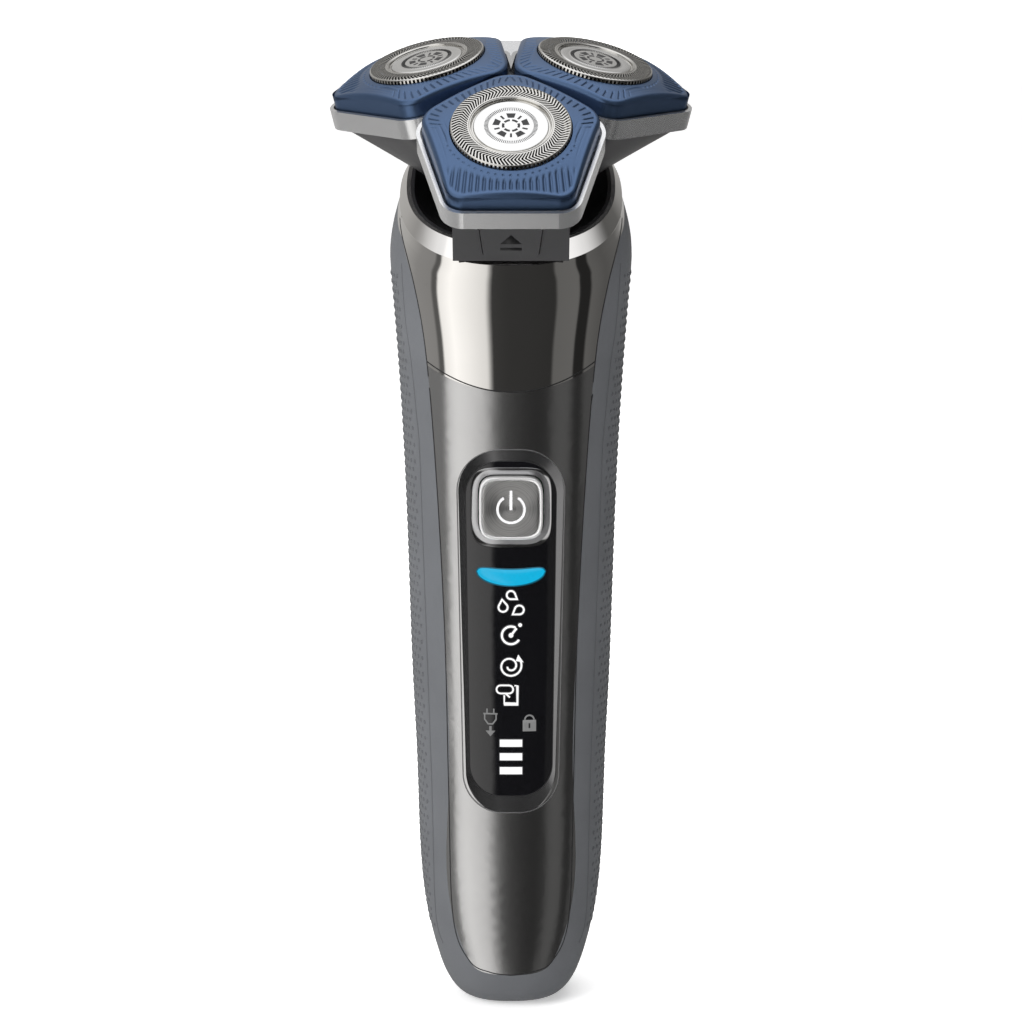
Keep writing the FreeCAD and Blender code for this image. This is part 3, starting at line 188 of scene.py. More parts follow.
def spun_metal(name, colour, roughness, axis, centre):
    """Metal turned about an axis, with fine concentric lines."""
    mat = new_material(name, colour, roughness, 1.0, Anisotropic=0.85)
    texture = add(mat, "ShaderNodeTexCoord")
    mapping = add(mat, "ShaderNodeMapping", Location=[-value for value in centre], Scale=[1.0 / MM] * 3)
    shift = add(mat, "ShaderNodeVectorMath", operation="MULTIPLY")
    shift.inputs[1].default_value = [0.0 if name_axis == axis else 1.0 for name_axis in "XYZ"]
    join(mat, texture.outputs["Object"], mapping.inputs["Vector"])
    join(mat, mapping.outputs["Vector"], shift.inputs[0])
    length = add(mat, "ShaderNodeVectorMath", operation="LENGTH")
    join(mat, shift.outputs["Vector"], length.inputs[0])
    rings = add(mat, "ShaderNodeTexNoise", noise_dimensions="1D", Scale=7.0, Detail=4.0)
    join(mat, length.outputs["Value"], rings.inputs["W"])
    low = [channel * 0.75 for channel in colour]
    high = [min(1.0, channel * 1.15) for channel in colour]
    join(mat, ramp(mat, rings.outputs["Fac"], low, high), shader_of(mat).inputs["Base Color"])
    join(mat, spread(mat, rings.outputs["Fac"], roughness * 0.7, roughness * 1.3),
         shader_of(mat).inputs["Roughness"])
    cross = add(mat, "ShaderNodeVectorMath", operation="CROSS_PRODUCT")
    cross.inputs[1].default_value = [1.0 if name_axis == axis else 0.0 for name_axis in "XYZ"]
    join(mat, shift.outputs["Vector"], cross.inputs[0])
    join(mat, cross.outputs["Vector"], shader_of(mat).inputs["Tangent"])
    bump(mat, rings.outputs["Fac"], 0.35, 0.02)
    return mat


def glowing(name, colour, strength):
    """Surface that gives off light, with a faint mottle as light through a thin diffuser shows: a lit
    symbol, or the painted glow of a halo or of an unlit symbol.
    """
    mat = new_material(name, (0.005, 0.005, 0.006), 0.3)
    fine = noise(mat, coordinates(mat), 1.5)
    low = [channel * 0.93 for channel in colour]
    join(mat, ramp(mat, fine, low, colour), shader_of(mat).inputs["Emission Color"])
    shader_of(mat).inputs["Emission Strength"].default_value = strength
    return mat


# Name, colour, its spread, roughness, its spread, grains per millimetre, depth of the grain; extras.
GRAINED = [
    ("grip_rubber", (0.104, 0.109, 0.118), 0.06, 0.52, 0.07, 5.0, 0.02, {"Specular_IOR_Level": 0.42}),
    ("panel_gunmetal", (0.58, 0.58, 0.585), 0.02, 0.23, 0.02, 9.0, 0.0015, {"metallic": 1.0}),
    ("collar_chrome", (0.86, 0.845, 0.825), 0.02, 0.045, 0.015, 3.0, 0.0003, {"metallic": 1.0}),
    ("black_plastic", (0.018, 0.018, 0.020), 0.10, 0.36, 0.05, 4.0, 0.012, {}),
    ("display_black", (0.0035, 0.0035, 0.0045), 0.10, 0.05, 0.01, 0.8, 0.001,
     {"Specular_IOR_Level": 0.8}),
    ("base_grey", (0.050, 0.050, 0.052), 0.08, 0.38, 0.05, 5.0, 0.012, {"metallic": 0.25}),
    ("trim_silver", (0.72, 0.725, 0.735), 0.02, 0.23, 0.02, 6.0, 0.0, {"metallic": 0.9}),
    ("cap_blue", (0.085, 0.140, 0.255), 0.04, 0.33, 0.04, 12.0, 0.004, {"metallic": 0.88}),
    ("guard_steel", (0.70, 0.69, 0.665), 0.03, 0.16, 0.04, 6.0, 0.003, {"metallic": 1.0}),
    ("cutter_steel", (0.20, 0.20, 0.20), 0.15, 0.35, 0.08, 3.0, 0.01, {"metallic": 1.0}),
    ("gear_plastic", (0.78, 0.77, 0.73), 0.04, 0.42, 0.05, 3.0, 0.01, {"Subsurface_Weight": 0.08}),
    ("plain_steel", (0.52, 0.52, 0.52), 0.06, 0.25, 0.06, 4.0, 0.006, {"metallic": 1.0}),
    ("cell_wrap", (0.08, 0.27, 0.13), 0.08, 0.24, 0.04, 1.0, 0.02, {}),
    ("board_green", (0.02, 0.13, 0.055), 0.25, 0.35, 0.06, 2.5, 0.01, {"cloud": 0.8}),
    ("brass_contact", (0.72, 0.56, 0.27), 0.08, 0.28, 0.06, 3.0, 0.008, {"metallic": 1.0}),
    ("chassis_grey", (0.20, 0.20, 0.21), 0.08, 0.50, 0.05, 3.0, 0.015, {}),
    ("rim_chrome", (0.90, 0.90, 0.90), 0.02, 0.24, 0.02, 2.0, 0.001, {"metallic": 0.6}),
    ("symbol_grey", (0.74, 0.74, 0.75), 0.02, 0.35, 0.03, 4.0, 0.002, {}),
    ("facet_black", (0.52, 0.52, 0.53), 0.04, 0.13, 0.02, 3.0, 0.001, {"metallic": 1.0}),
    ("bevel_satin", (0.20, 0.20, 0.205), 0.03, 0.24, 0.03, 6.0, 0.002, {"metallic": 0.95}),
    ("disc_polish", (0.82, 0.82, 0.815), 0.02, 0.14, 0.03, 4.0, 0.002, {"metallic": 1.0}),
    ("engraved", (0.020, 0.020, 0.021), 0.15, 0.42, 0.06, 6.0, 0.004, {"metallic": 0.2}),
    ("seam_dark", (0.012, 0.012, 0.013), 0.15, 0.55, 0.05, 4.0, 0.01, {}),
    ("rim_line", (0.30, 0.30, 0.305), 0.04, 0.30, 0.03, 6.0, 0.004, {"metallic": 0.9}),
    ("grip_bead", (0.082, 0.086, 0.093), 0.06, 0.50, 0.05, 5.0, 0.01, {}),
]
# Name, colour of the light, its strength.
GLOWING = [("lamp_white", (0.9, 0.93, 1.0), 1.0),
           ("light_cyan", (0.0, 0.456, 0.753), 1.0),
           # halo_cyan and halo_white are painted glow: emission on the display round the light bar and the
           # white symbols, standing in for light that spills there.
           ("halo_cyan", (0.0, 0.10, 0.16), 1.0),
           ("light_white", (1.0, 1.0, 1.0), 1.15),
           ("halo_white", (0.05, 0.05, 0.053), 1.0),
           # light_dim is painted glow: the unlit plug and padlock symbols shine grey by emission, not by
           # any lamp.
           ("light_dim", (0.22, 0.22, 0.22), 1.0)]

LOOKS = {name: grained(name, *numbers, **extras) for name, *numbers, extras in GRAINED}
LOOKS.update({name: glowing(name, colour, strength) for name, colour, strength in GLOWING})
LOOKS["button_metal"] = spun_metal("button_metal", (0.74, 0.74, 0.74), 0.40, "Y", (0.0, 0.0, POWER_Z))

# Every CAD node keeps its own slot and takes the material of that name.
for node in NODES.values():
    slot_name = node.data.materials[0].name.split(".")[0]
    node.data.materials[0] = LOOKS[slot_name]


# ---------------------------------------------------------------- mesh helpers
def piece(name, points, faces, body, slot, look=None, place=None, smooth=30.0):
    """Mesh object from millimetre points, riding on a body."""
    mesh = bpy.data.meshes.new(name)
    place = place or Matrix.Identity(4)
    mesh.from_pydata([(place @ Vector(point)) * MM for point in points], [], faces)
    mesh.validate()
    mesh.materials.append(LOOKS[look or slot])
    mesh.shade_smooth()
    if smooth:
        mesh.set_sharp_from_angle(angle=math.radians(smooth))
    obj = bpy.data.objects.new(name, mesh)
    bpy.context.scene.collection.objects.link(obj)
    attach(obj, body)
    return obj


def grid_faces(rows, columns, closed=True):
    """Quads between successive rows of points."""
    faces = []
    span = columns if closed else columns - 1
    for row in range(rows - 1):
        for column in range(span):
            after = (column + 1) % columns
            low = row * columns
            faces.append((low + column, low + after, low + columns + after, low + columns + column))
    return faces


def ring_faces(rows, columns):
    """Quads between rows that close on themselves, the last row joined to the first."""
    last = (rows - 1) * columns
    closing = [(last + i, last + (i + 1) % columns, (i + 1) % columns, i) for i in range(columns)]
    return grid_faces(rows, columns) + closing


def surface_of(*names):
    """Search tree over the rest shape of CAD nodes, in metres."""
    points, faces = [], []
    for name in names:
        mesh = NODES[name].data
        base = len(points)
        points.extend(vertex.co.copy() for vertex in mesh.vertices)
        faces.extend([base + index for index in polygon.vertices] for polygon in mesh.polygons)
    return BVHTree.FromPolygons(points, faces)


def cast(tree, start, direction):
    """First point hit, and its outward normal, in millimetres."""
    hit, normal, _, _ = tree.ray_cast(Vector(start) * MM, Vector(direction).normalized())
    if hit is None:
        return None
    if normal.dot(Vector(direction)) > 0:
        normal = -normal
    return hit / MM, normal


def front_hit(tree, x, z):
    """First point met when looking along +Y at a place of the XZ plane."""
    return cast(tree, (x, BEFORE_ALL, z), (0, 1, 0))


# ---------------------------------------------------------------- flat symbols laid on a surface
def strip(first, second):
    """Quads between two lines of equally many points, as (points, faces)."""
    count = len(first)
    return first + second, [(i, i + 1, count + i + 1, count + i) for i in range(count - 1)]


def stroke(points, width, closed=False):
    """Strip of quads along a line in a plane, as (points, faces)."""
    count = len(points)
    left, right = [], []
    for i in range(count):
        before = points[i - 1] if (i > 0 or closed) else points[i]
        after = points[(i + 1) % count] if (i < count - 1 or closed) else points[i]
        run = Vector((after[0] - before[0], after[1] - before[1])).normalized()
        half_a = Vector((points[i][0] - before[0], points[i][1] - before[1]))
        half_b = Vector((after[0] - points[i][0], after[1] - points[i][1]))
        scale = 1.0
        if half_a.length > 0 and half_b.length > 0:
            scale = min(1.6, 1.0 / max(0.5, math.cos(half_a.angle(half_b) / 2.0)))
        side = Vector((-run.y, run.x)) * width / 2.0 * scale
        left.append((points[i][0] + side.x, points[i][1] + side.y))
        right.append((points[i][0] - side.x, points[i][1] - side.y))
    faces = []
    for i in range(count if closed else count - 1):
        j = (i + 1) % count
        faces.append((i, j, count + j, count + i))
    return left + right, faces


def plate(points):
    """Filled outline, as (points, faces)."""
    triangles = tessellate_polygon([[Vector((x, y, 0)) for x, y in points]])
    return list(points), [tuple(triangle) for triangle in triangles]


def bar(left, low, right, high, columns=8):
    """Rectangle as a strip of columns, so that it can follow a curved surface."""
    places = [left + (right - left) * i / columns for i in range(columns + 1)]
    return strip([(x, low) for x in places], [(x, high) for x in places])


def arc(cx, cy, radius, start, end, steps=24):
    """Points on an arc, angles in degrees."""
    return [(cx + radius * math.cos(math.radians(start + (end - start) * i / steps)),
             cy + radius * math.sin(math.radians(start + (end - start) * i / steps)))
            for i in range(steps + 1)]


def lay(shapes, onto, lift, depth):
    """Thin solids from flat shapes: onto() turns a flat point and a height into a 3-D point."""
    points, faces = [], []
    for flat, flat_faces in shapes:
        base = len(points)
        count = len(flat)
        points.extend(onto(x, y, lift) for x, y in flat)
        points.extend(onto(x, y, lift - depth) for x, y in flat)
        edges = set()
        for face in flat_faces:
            corners = [flat[i] for i in face]
            area = sum(corners[i - 1][0] * corners[i][1] - corners[i][0] * corners[i - 1][1]
                       for i in range(len(corners)))
            ordered = face if area > 0 else tuple(reversed(face))
            faces.append(tuple(base + i for i in ordered))
            faces.append(tuple(base + count + i for i in reversed(ordered)))
            for i in range(len(ordered)):
                edges.add((ordered[i - 1], ordered[i]))
        for a, b in sorted(edges):
            if (b, a) not in edges:
                faces.append((base + b, base + a, base + count + a, base + count + b))
    return points, faces


def turned_shape(points, degrees):
    """Flat points turned about the origin."""
    c, s = math.cos(math.radians(degrees)), math.sin(math.radians(degrees))
    return [(x * c - y * s, x * s + y * c) for x, y in points]


# ---------------------------------------------------------------- head geometry
def head_matrix():
    """Head frame: Z along the drive axis, origin in the middle of the three lobes."""
    lean = Matrix.Rotation(math.radians(HEAD_LEAN), 4, "X")
    return Matrix.Translation(HEAD_CENTRE) @ lean


def lobe_matrix(lobe):
    """Frame of one lobe: X outwards, Z out of its guard."""
    turn = Matrix.Rotation(math.radians(LOBES[lobe]), 4, "Z")
    tilt = Matrix.Rotation(math.radians(LOBE_TILT), 4, "Y")
    return head_matrix() @ turn @ Matrix.Translation((LOBE_RADIUS, 0, 0)) @ tilt


def corner_arc(before_point, corner, after_point, radius, steps):
    """Points of the arc that rounds a corner between two neighbours."""
    before = (before_point - corner).normalized()
    after = (after_point - corner).normalized()
    half = before.angle(after) / 2.0
    centre = corner + (before + after).normalized() * radius / math.sin(half)
    start = corner + before * radius / math.tan(half) - centre
    end = corner + after * radius / math.tan(half) - centre
    turn = start.angle_signed(end)
    return [centre + Matrix.Rotation(-turn * step / steps, 2) @ start for step in range(steps + 1)]


def cap_outline():
    """Outline of a head cap with rounded corners."""
    corners = [Vector(corner) for corner in CAP_CORNERS]
    outline = []
    for i, radius in enumerate(CAP_RADII):
        outline += corner_arc(corners[i - 1], corners[i], corners[(i + 1) % len(corners)], radius, 12)
    return outline


def reach(outline, angle):
    """Distance from the ring's centre to an outline in a direction."""
    dx, dy = math.cos(angle), math.sin(angle)
    best = 0.0
    for i in range(len(outline)):
        a, b = outline[i - 1], outline[i]
        ex, ey = b.x - a.x, b.y - a.y
        det = dx * ey - dy * ex
        if abs(det) < 1e-12:
            continue
        t = (a.x * ey - a.y * ex) / det
        s = (a.x * dy - a.y * dx) / det
        if -1e-6 <= s <= 1.0 + 1e-6 and t > best:
            best = t
    return best


def sector_reach(angle, height):
    """Largest radius that stays clear of the planes between lobes."""
    tilt = math.radians(LOBE_TILT)
    c60, s60 = math.cos(math.radians(60)), math.sin(math.radians(60))
    slope = math.cos(angle) * math.cos(tilt) * s60 - abs(math.sin(angle)) * c60
    room = SECTOR_MARGIN - (LOBE_RADIUS + height * math.sin(tilt)) * s60
    return room / slope if slope < -1e-6 else 1e9


def dome(radius):
    """Height of a cap's domed roof at a radius."""
    return DOME_TOP - radius * radius / (2.0 * DOME_RADIUS)


def ease(value, low, high):
    """Smooth step from 0 at low to 1 at high."""
    t = min(1.0, max(0.0, (value - low) / (high - low)))
    return t * t * (3.0 - 2.0 * t)


RIB_PITCH = 1.05
RIB_DEPTH = 0.24
NOTCH_PITCH = 1.45
NOTCH_DEPTH = 0.18
DIMPLE_PITCH = 6.2
DIMPLE_DEPTH = 0.10


def cap_relief(radius, angle, edge, along):
    """Depth of the ribs, notches and dimples at a point of a cap's roof."""
    u, v = radius * math.cos(angle), radius * math.sin(angle)
    margin = edge - radius
    outer = ease(u, 1.5, 5.0)
    rib = 0.5 + 0.5 * math.cos(2.0 * math.pi * v / (1.0 + 0.012 * (u - 10.0)) / RIB_PITCH)
    rib_zone = ease(u, 7.8, 10.6) * ease(radius, 11.6, 12.6) * ease(margin, 0.35, 0.75)
    depth = RIB_DEPTH * rib * rib * rib_zone
    flank = ease(abs(v), 10.2, 10.8) * (1.0 - ease(u, 7.0, 10.0)) * ease(u, -2.5, 1.0)
    line = 0.5 + 0.5 * math.cos(2.0 * math.pi * margin / 0.95)
    depth += 0.10 * line ** 3 * flank * ease(margin, 0.8, 1.4)
    pulse = 0.5 + 0.5 * math.cos(2.0 * math.pi * (along + 0.45 * margin * math.copysign(1, v))
                                 / NOTCH_PITCH)
    depth += NOTCH_DEPTH * pulse ** 10 * ease(-u, 0.0, 2.0) * ease(margin, 0.25, 0.6) \
        * (1.0 - ease(margin, 1.9, 2.5))
    step = math.degrees(angle) / DIMPLE_PITCH
    offset = (step - round(step)) * math.radians(DIMPLE_PITCH) * radius
    spot = math.hypot(offset, radius - 11.15)
    depth += DIMPLE_DEPTH * (1.0 - ease(spot, 0.08, 0.30)) * outer
    return depth


def build_cap(lobe):
    """Blue cap: domed roof with relief, rounded edge, wall and inner lip."""
    count = 900                    # points round the outline, about ten to each rib
    outline = cap_outline()
    angles = [2.0 * math.pi * i / count for i in range(count)]
    edges = [reach(outline, angle) for angle in angles]
    along, total = [], 0.0
    for i in range(count):
        along.append(total)
        total += math.hypot(edges[i] * 2.0 * math.pi / count, edges[(i + 1) % count] - edges[i])
    inner = RING_RADIUS + 0.08
    fillet = 1.0
    roof_steps = 40
    roof_inner = inner + 0.18
    hole = [(inner, -1.2), (inner, dome(inner) - 0.14), (inner + 0.05, dome(inner) - 0.04)]
    rows = [[place] * count for place in hole]
    for step in range(roof_steps + 1):
        t = step / roof_steps
        row = []
        for i in range(count):
            radius = roof_inner + (edges[i] - fillet - roof_inner) * t
            height = dome(radius) - cap_relief(radius, angles[i], edges[i] - fillet * 0.6, along[i])
            row.append((radius, height))
        rows.append(row)
    for step in range(1, 8):
        turn = math.radians(90.0 * step / 7)
        rows.append([(edge - fillet + fillet * math.sin(turn),
                      dome(edge - fillet) - fillet + fillet * math.cos(turn)) for edge in edges])
    wall = [(0.0, -2.6), (0.0, -3.2), (0.0, -4.0), (0.0, -4.8), (0.0, -5.4), (0.0, -5.85),
            (0.15, CAP_BOTTOM), (1.0, CAP_BOTTOM), (1.2, CAP_BOTTOM + 0.2), (1.2, -3.1)]
    rows += [[(edge - inset, height) for edge in edges] for inset, height in wall]
    rows.append([(inner + 0.05, -2.9)] * count)
    points = []
    for row in rows:
        for i in range(count):
            radius, height = row[i]
            radius = min(radius, sector_reach(angles[i], height))
            points.append((radius * math.cos(angles[i]), radius * math.sin(angles[i]), height))
    cap = piece("cap_shell_" + lobe, points, ring_faces(len(rows), count), "holder_" + lobe, "cap_blue",
                place=lobe_matrix(lobe), smooth=40.0)
    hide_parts("head_cap_" + lobe)


SLOT_COUNT = 90
SLOT_SHARE = 0.60                  # part of each pitch that is open
CHEVRON_RADIUS = 8.45
CHEVRON_LEAN = 0.75
TRACK_EDGE = 9.75                  # where the flat track ends and the ring's wall starts
# Radius, height, and whether slots are open from here to the next place.
GUARD_STATIONS = [(6.82, -0.12, False), (6.95, 0.0, False), (7.15, 0.0, True), (7.55, 0.0, True),
                  (8.0, 0.0, True), (8.35, 0.0, True), (8.55, 0.0, True), (8.9, 0.0, True),
                  (9.3, 0.0, True), (9.7, -0.03, False), (9.82, -0.09, False),
                  (9.93, -0.2, True), (10.0, -0.42, True), (10.0, -0.95, False), (10.0, -2.6, False)]


def chevron_shift(radius):
    """Angle by which a slot leans at a radius."""
    return CHEVRON_LEAN * abs(radius - CHEVRON_RADIUS) / radius


def guard_points():
    """Outer sheet of the guard, then its inner sheet, each as rows of slot edges."""
    period = 2.0 * math.pi / SLOT_COUNT
    outer, inner = [], []
    for radius, height, _ in GUARD_STATIONS:
        flat = radius < TRACK_EDGE
        inner_radius = radius if flat else radius - 0.3
        inner_height = height - (0.34 if flat else 0.25)
        shift = chevron_shift(min(radius, 9.7))
        for k in range(SLOT_COUNT):
            for side in (-1, 1):
                angle = k * period + side * SLOT_SHARE / 2.0 * period + shift
                c, s = math.cos(angle), math.sin(angle)
                outer.append((radius * c, radius * s, height))
                inner.append((inner_radius * c, inner_radius * s, inner_height))
    return outer, inner


def build_guard(lobe):
    """Slotted shaving track with chevron slots, wall slots, groove and skirt."""
    outer, inner = guard_points()
    under = len(outer)
    columns = SLOT_COUNT * 2
    last_row = len(GUARD_STATIONS) - 2
    holes = {(row, column) for row in range(last_row + 1) if GUARD_STATIONS[row][2]
             for column in range(0, columns, 2)}
    faces = []
    for row in range(last_row + 1):
        for column in range(columns):
            if (row, column) in holes:
                continue
            after = (column + 1) % columns
            a, b = row * columns + column, row * columns + after
            c, d = b + columns, a + columns
            faces.append((a, b, c, d))
            faces.append((under + d, under + c, under + b, under + a))
            for neighbour, first, second in (((row, after), b, c), ((row, (column - 1) % columns), d, a),
                                             ((row + 1, column), c, d), ((row - 1, column), a, b)):
                if neighbour in holes or not 0 <= neighbour[0] <= last_row:
                    faces.append((second, first, under + first, under + second))
    guard = piece("guard_track_" + lobe, outer + inner, faces, "holder_" + lobe, "guard_steel",
                  place=lobe_matrix(lobe), smooth=35.0)
    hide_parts("guard_ring_" + lobe)
    profile = [(6.84, -0.10), (6.78, -0.02), (6.66, 0.0), (6.58, -0.08), (6.52, -0.42), (6.40, -0.5),
               (6.22, -0.5), (6.16, -0.35), (6.16, -0.95), (6.84, -0.95)]
    turned_piece("guard_groove_" + lobe, profile, lobe, "guard_steel", True)


def turned_piece(name, profile, lobe, look, closed, count=160):
    """Lathe-turned ring or disc in a lobe frame."""
    points = []
    for radius, height in profile:
        for i in range(count):
            angle = 2.0 * math.pi * i / count
            points.append((radius * math.cos(angle), radius * math.sin(angle), height))
    if closed:
        faces = ring_faces(len(profile), count)
    else:
        last = (len(profile) - 1) * count
        faces = grid_faces(len(profile), count)
        faces += [tuple(range(count - 1, -1, -1)), tuple(range(last, last + count))]
    return piece(name, points, faces, "holder_" + lobe, "guard_steel", look, lobe_matrix(lobe))


def build_disc(lobe):
    """Polished centre of a guard, with engraved marks."""
    profile = [(6.13, -0.75), (6.13, -0.36), (6.08, -0.26), (5.95, -0.2), (5.6, -0.17), (4.9, -0.155),
               (4.75, -0.19), (4.65, -0.19), (4.55, -0.155), (3.0, -0.15), (0.4, -0.15)]
    disc = turned_piece("guard_centre_" + lobe, profile, lobe, "disc_polish", False)
    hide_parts("guard_disc_" + lobe)
    shapes = []
    for i in range(84):
        shapes.append(stroke(turned_shape([(3.72, 0.0), (4.4, 0.0)], 360.0 * i / 84), 0.11))
    window = [(1.9, -0.52), (2.95, -0.78), (2.95, 0.78), (1.9, 0.52)]
    for i in range(5):
        shapes.append(plate(turned_shape(window, 72 * i + 180)))
        shapes.append(stroke(turned_shape([(1.95, 0.0), (2.85, 0.0)], 72 * i + 216), 0.34))
    for i in range(6):
        shapes.append(stroke(arc(0, 0, 1.3, 60 * i + 8, 60 * i + 52, 8), 0.42))
    points, faces = lay(shapes, lambda x, y, h: (x, y, h), -0.125, 0.06)
    piece("guard_marks_" + lobe, points, faces, "holder_" + lobe, "guard_steel", "engraved",
          lobe_matrix(lobe))


for lobe_name in LOBES:
    build_cap(lobe_name)
    build_guard(lobe_name)
    build_disc(lobe_name)


# ---------------------------------------------------------------- power button and its surround
def squircle(size, count=128):
    """Rounded-square outline."""
    outline = []
    for i in range(count):
        angle = 2.0 * math.pi * i / count
        c, s = math.cos(angle), math.sin(angle)
        outline.append((size / 2.0 * math.copysign(abs(c) ** (2.0 / SQUIRCLE_POWER), c),
                        size / 2.0 * math.copysign(abs(s) ** (2.0 / SQUIRCLE_POWER), s)))
    return outline


def squircle_loops(loops, name, body, slot, look, smooth, ring):
    """Piece from squircle loops of (size, y), outermost first: a closed ring or a filled face."""
    points = []
    count = 128
    for size, y in loops:
        points.extend((x, y, POWER_Z + z) for x, z in squircle(size, count))
    if ring:
        faces = ring_faces(len(loops), count)
    else:
        last = (len(loops) - 1) * count
        points.append((0.0, loops[-1][1], POWER_Z))
        faces = grid_faces(len(loops), count)
        faces += [(last + i, last + (i + 1) % count, len(points) - 1) for i in range(count)]
    return piece(name, points, faces, body, slot, look, smooth=smooth)


rim_loops = [(POWER_SIZE, POWER_BACK_Y), (POWER_SIZE, POWER_FRONT_Y + 0.42), (10.72, POWER_FRONT_Y + 0.2),
             (10.5, POWER_FRONT_Y + 0.05), (10.25, POWER_FRONT_Y), (9.95, POWER_FRONT_Y + 0.03),
             (9.7, POWER_FRONT_Y + 0.14), (9.62, POWER_FRONT_Y + 0.35), (9.62, POWER_BACK_Y)]
button_rim = squircle_loops(rim_loops, "button_rim", "power_button", "button_metal", "rim_chrome",
                            50.0, True)
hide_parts("power_button")
face_loops = [(9.66, POWER_BACK_Y), (9.66, POWER_FRONT_Y + 0.24), (9.55, POWER_FRONT_Y + 0.17)]
face_loops += [(9.45 - 0.94 * i, POWER_FRONT_Y + 0.16 + 0.13 * ease(i, 0, 9)) for i in range(10)]
squircle_loops(face_loops, "button_face", "power_button", "button_metal", None, 40.0, False)

SYMBOL_Y = POWER_FRONT_Y + 0.27
power_shapes = [stroke(arc(0, POWER_Z - 0.15, 2.28, 122, 418, 48), 0.42),
                stroke([(0, POWER_Z - 0.25), (0, POWER_Z + 3.05)], 0.46)]
power_points, power_faces = lay(power_shapes, lambda x, z, h: (x, SYMBOL_Y - h, z), 0.13, 0.25)
piece("power_symbol", power_points, power_faces, "power_button", "button_metal", "symbol_grey")

lens_tree = surface_of("display_lens", "button_surround")


def surround_piece():
    """Shallow bezel that slopes down from the display's surface to the button."""
    count = 128
    points = []
    loops = [(SURROUND_SIZE - 0.1, 0.03), (SURROUND_SIZE - 0.2, -0.01), (SURROUND_SIZE - 0.35, 0.0),
             (11.35, 0.40), (11.2, 0.50), (11.2, 1.4)]
    for size, sink in loops:
        for x, z in squircle(size, count):
            edge_x, edge_z = x * (SURROUND_SIZE - 0.2) / size, z * (SURROUND_SIZE - 0.2) / size
            hit = front_hit(lens_tree, edge_x, POWER_Z + edge_z)
            level = hit[0].y if hit else -16.6
            points.append((x, level + sink, POWER_Z + z))
    faces = grid_faces(len(loops), count)
    bezel = piece("button_bezel", points, faces, "handle", "display_black", "facet_black", smooth=35.0)
    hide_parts("button_surround")


surround_piece()


# ---------------------------------------------------------------- display symbols
def on_lens(x, z, height):
    """Point above the display's surface."""
    hit = front_hit(lens_tree, x, z)
    level = hit[0].y if hit else -17.0
    return (x, level - height, z)


def crescent(grow):
    """Curved light bar under the button, as a strip."""
    columns = 40
    half = 5.75 + grow
    upper, lower = [], []
    for i in range(columns + 1):
        t = -1.0 + 2.0 * i / columns
        end = math.sqrt(max(0.0, 1.0 - abs(t) ** 7))
        top = 80.3 - 0.55 * (1.0 - t * t)
        bottom = 77.0 + 1.45 * t * t
        middle = (top + bottom) / 2.0
        rise = ((top - bottom) / 2.0 + grow) * end
        upper.append((half * t, middle + rise))
        lower.append((half * t, middle - rise))
    return strip(upper, lower)


def droplet(cx, cy, size, direction):
    """Outline of a water drop whose tip points in a direction."""
    outline = turned_shape(arc(0, 0, size, 50, 310, 20) + [(size * 1.75, 0.0)], direction)
    return [(cx + x, cy + y) for x, y in outline]


def spiral(cx, cy, inner, outer, start, end, steps=48):
    """Line that winds outwards, angles in degrees."""
    points = []
    for i in range(steps + 1):
        t = i / steps
        radius = inner + (outer - inner) * t ** 0.8
        angle = math.radians(start + (end - start) * t)
        points.append((cx + radius * math.cos(angle), cy + radius * math.sin(angle)))
    return points


def white_symbols(extra):
    """Lit symbols: drops, a sensor dial, a spiral arrow, a message with a page and charge bars."""
    line = 0.30 + extra
    edge = extra / 2
    shapes = [stroke(droplet(0.0, 75.35, 0.72, -35), line, True),
              stroke(droplet(-1.35, 73.2, 0.78, 97), line, True),
              stroke(droplet(1.4, 72.75, 0.78, 215), line, True)]
    shapes.append(stroke(arc(0.0, 68.3, 1.55, 60, 330, 30), line * 1.2))
    shapes.append(stroke([(0.0, 68.3), (0.95, 69.55)], line * 1.2))
    shapes.append(plate(arc(0.0, 68.3, 0.40 + edge, 0, 345, 23)))
    shapes.append(plate(arc(1.55, 70.1, 0.32 + edge, 0, 345, 23)))
    turns = spiral(-0.15, 62.9, 0.45, 2.0, 200, 750)
    shapes.append(stroke(turns, line))
    tip_x, tip_z = turns[-1]
    head = [(tip_x - 0.75 - edge, tip_z - 0.1 - edge), (tip_x + 0.55 + edge, tip_z - 0.35 - edge),
            (tip_x - 0.35, tip_z + 1.0 + edge)]
    shapes.append(plate(head))
    bubble = arc(-1.75, 58.75, 0.72, 90, 270, 10) + arc(-0.35, 58.75, 0.72, -90, 90, 10)
    shapes.append(stroke(bubble, line * 0.9, True))
    shapes.append(stroke([(-0.9, 58.0), (-0.2, 57.35)], line * 0.9))
    page = [(0.6, 59.4), (1.1, 59.4), (1.1, 56.3), (-1.15, 56.3), (-1.15, 57.7)]
    shapes.append(stroke(page, line * 0.9))
    shapes.append(bar(-1.2 - edge, 55.9 - edge, 1.25 + edge, 56.3 + edge))
    for middle in (49.2, 46.78, 44.3):
        half, rise = 1.92 + edge, 0.63 + edge
        shapes.append(bar(-half, middle - rise, half, middle + rise))
    return shapes


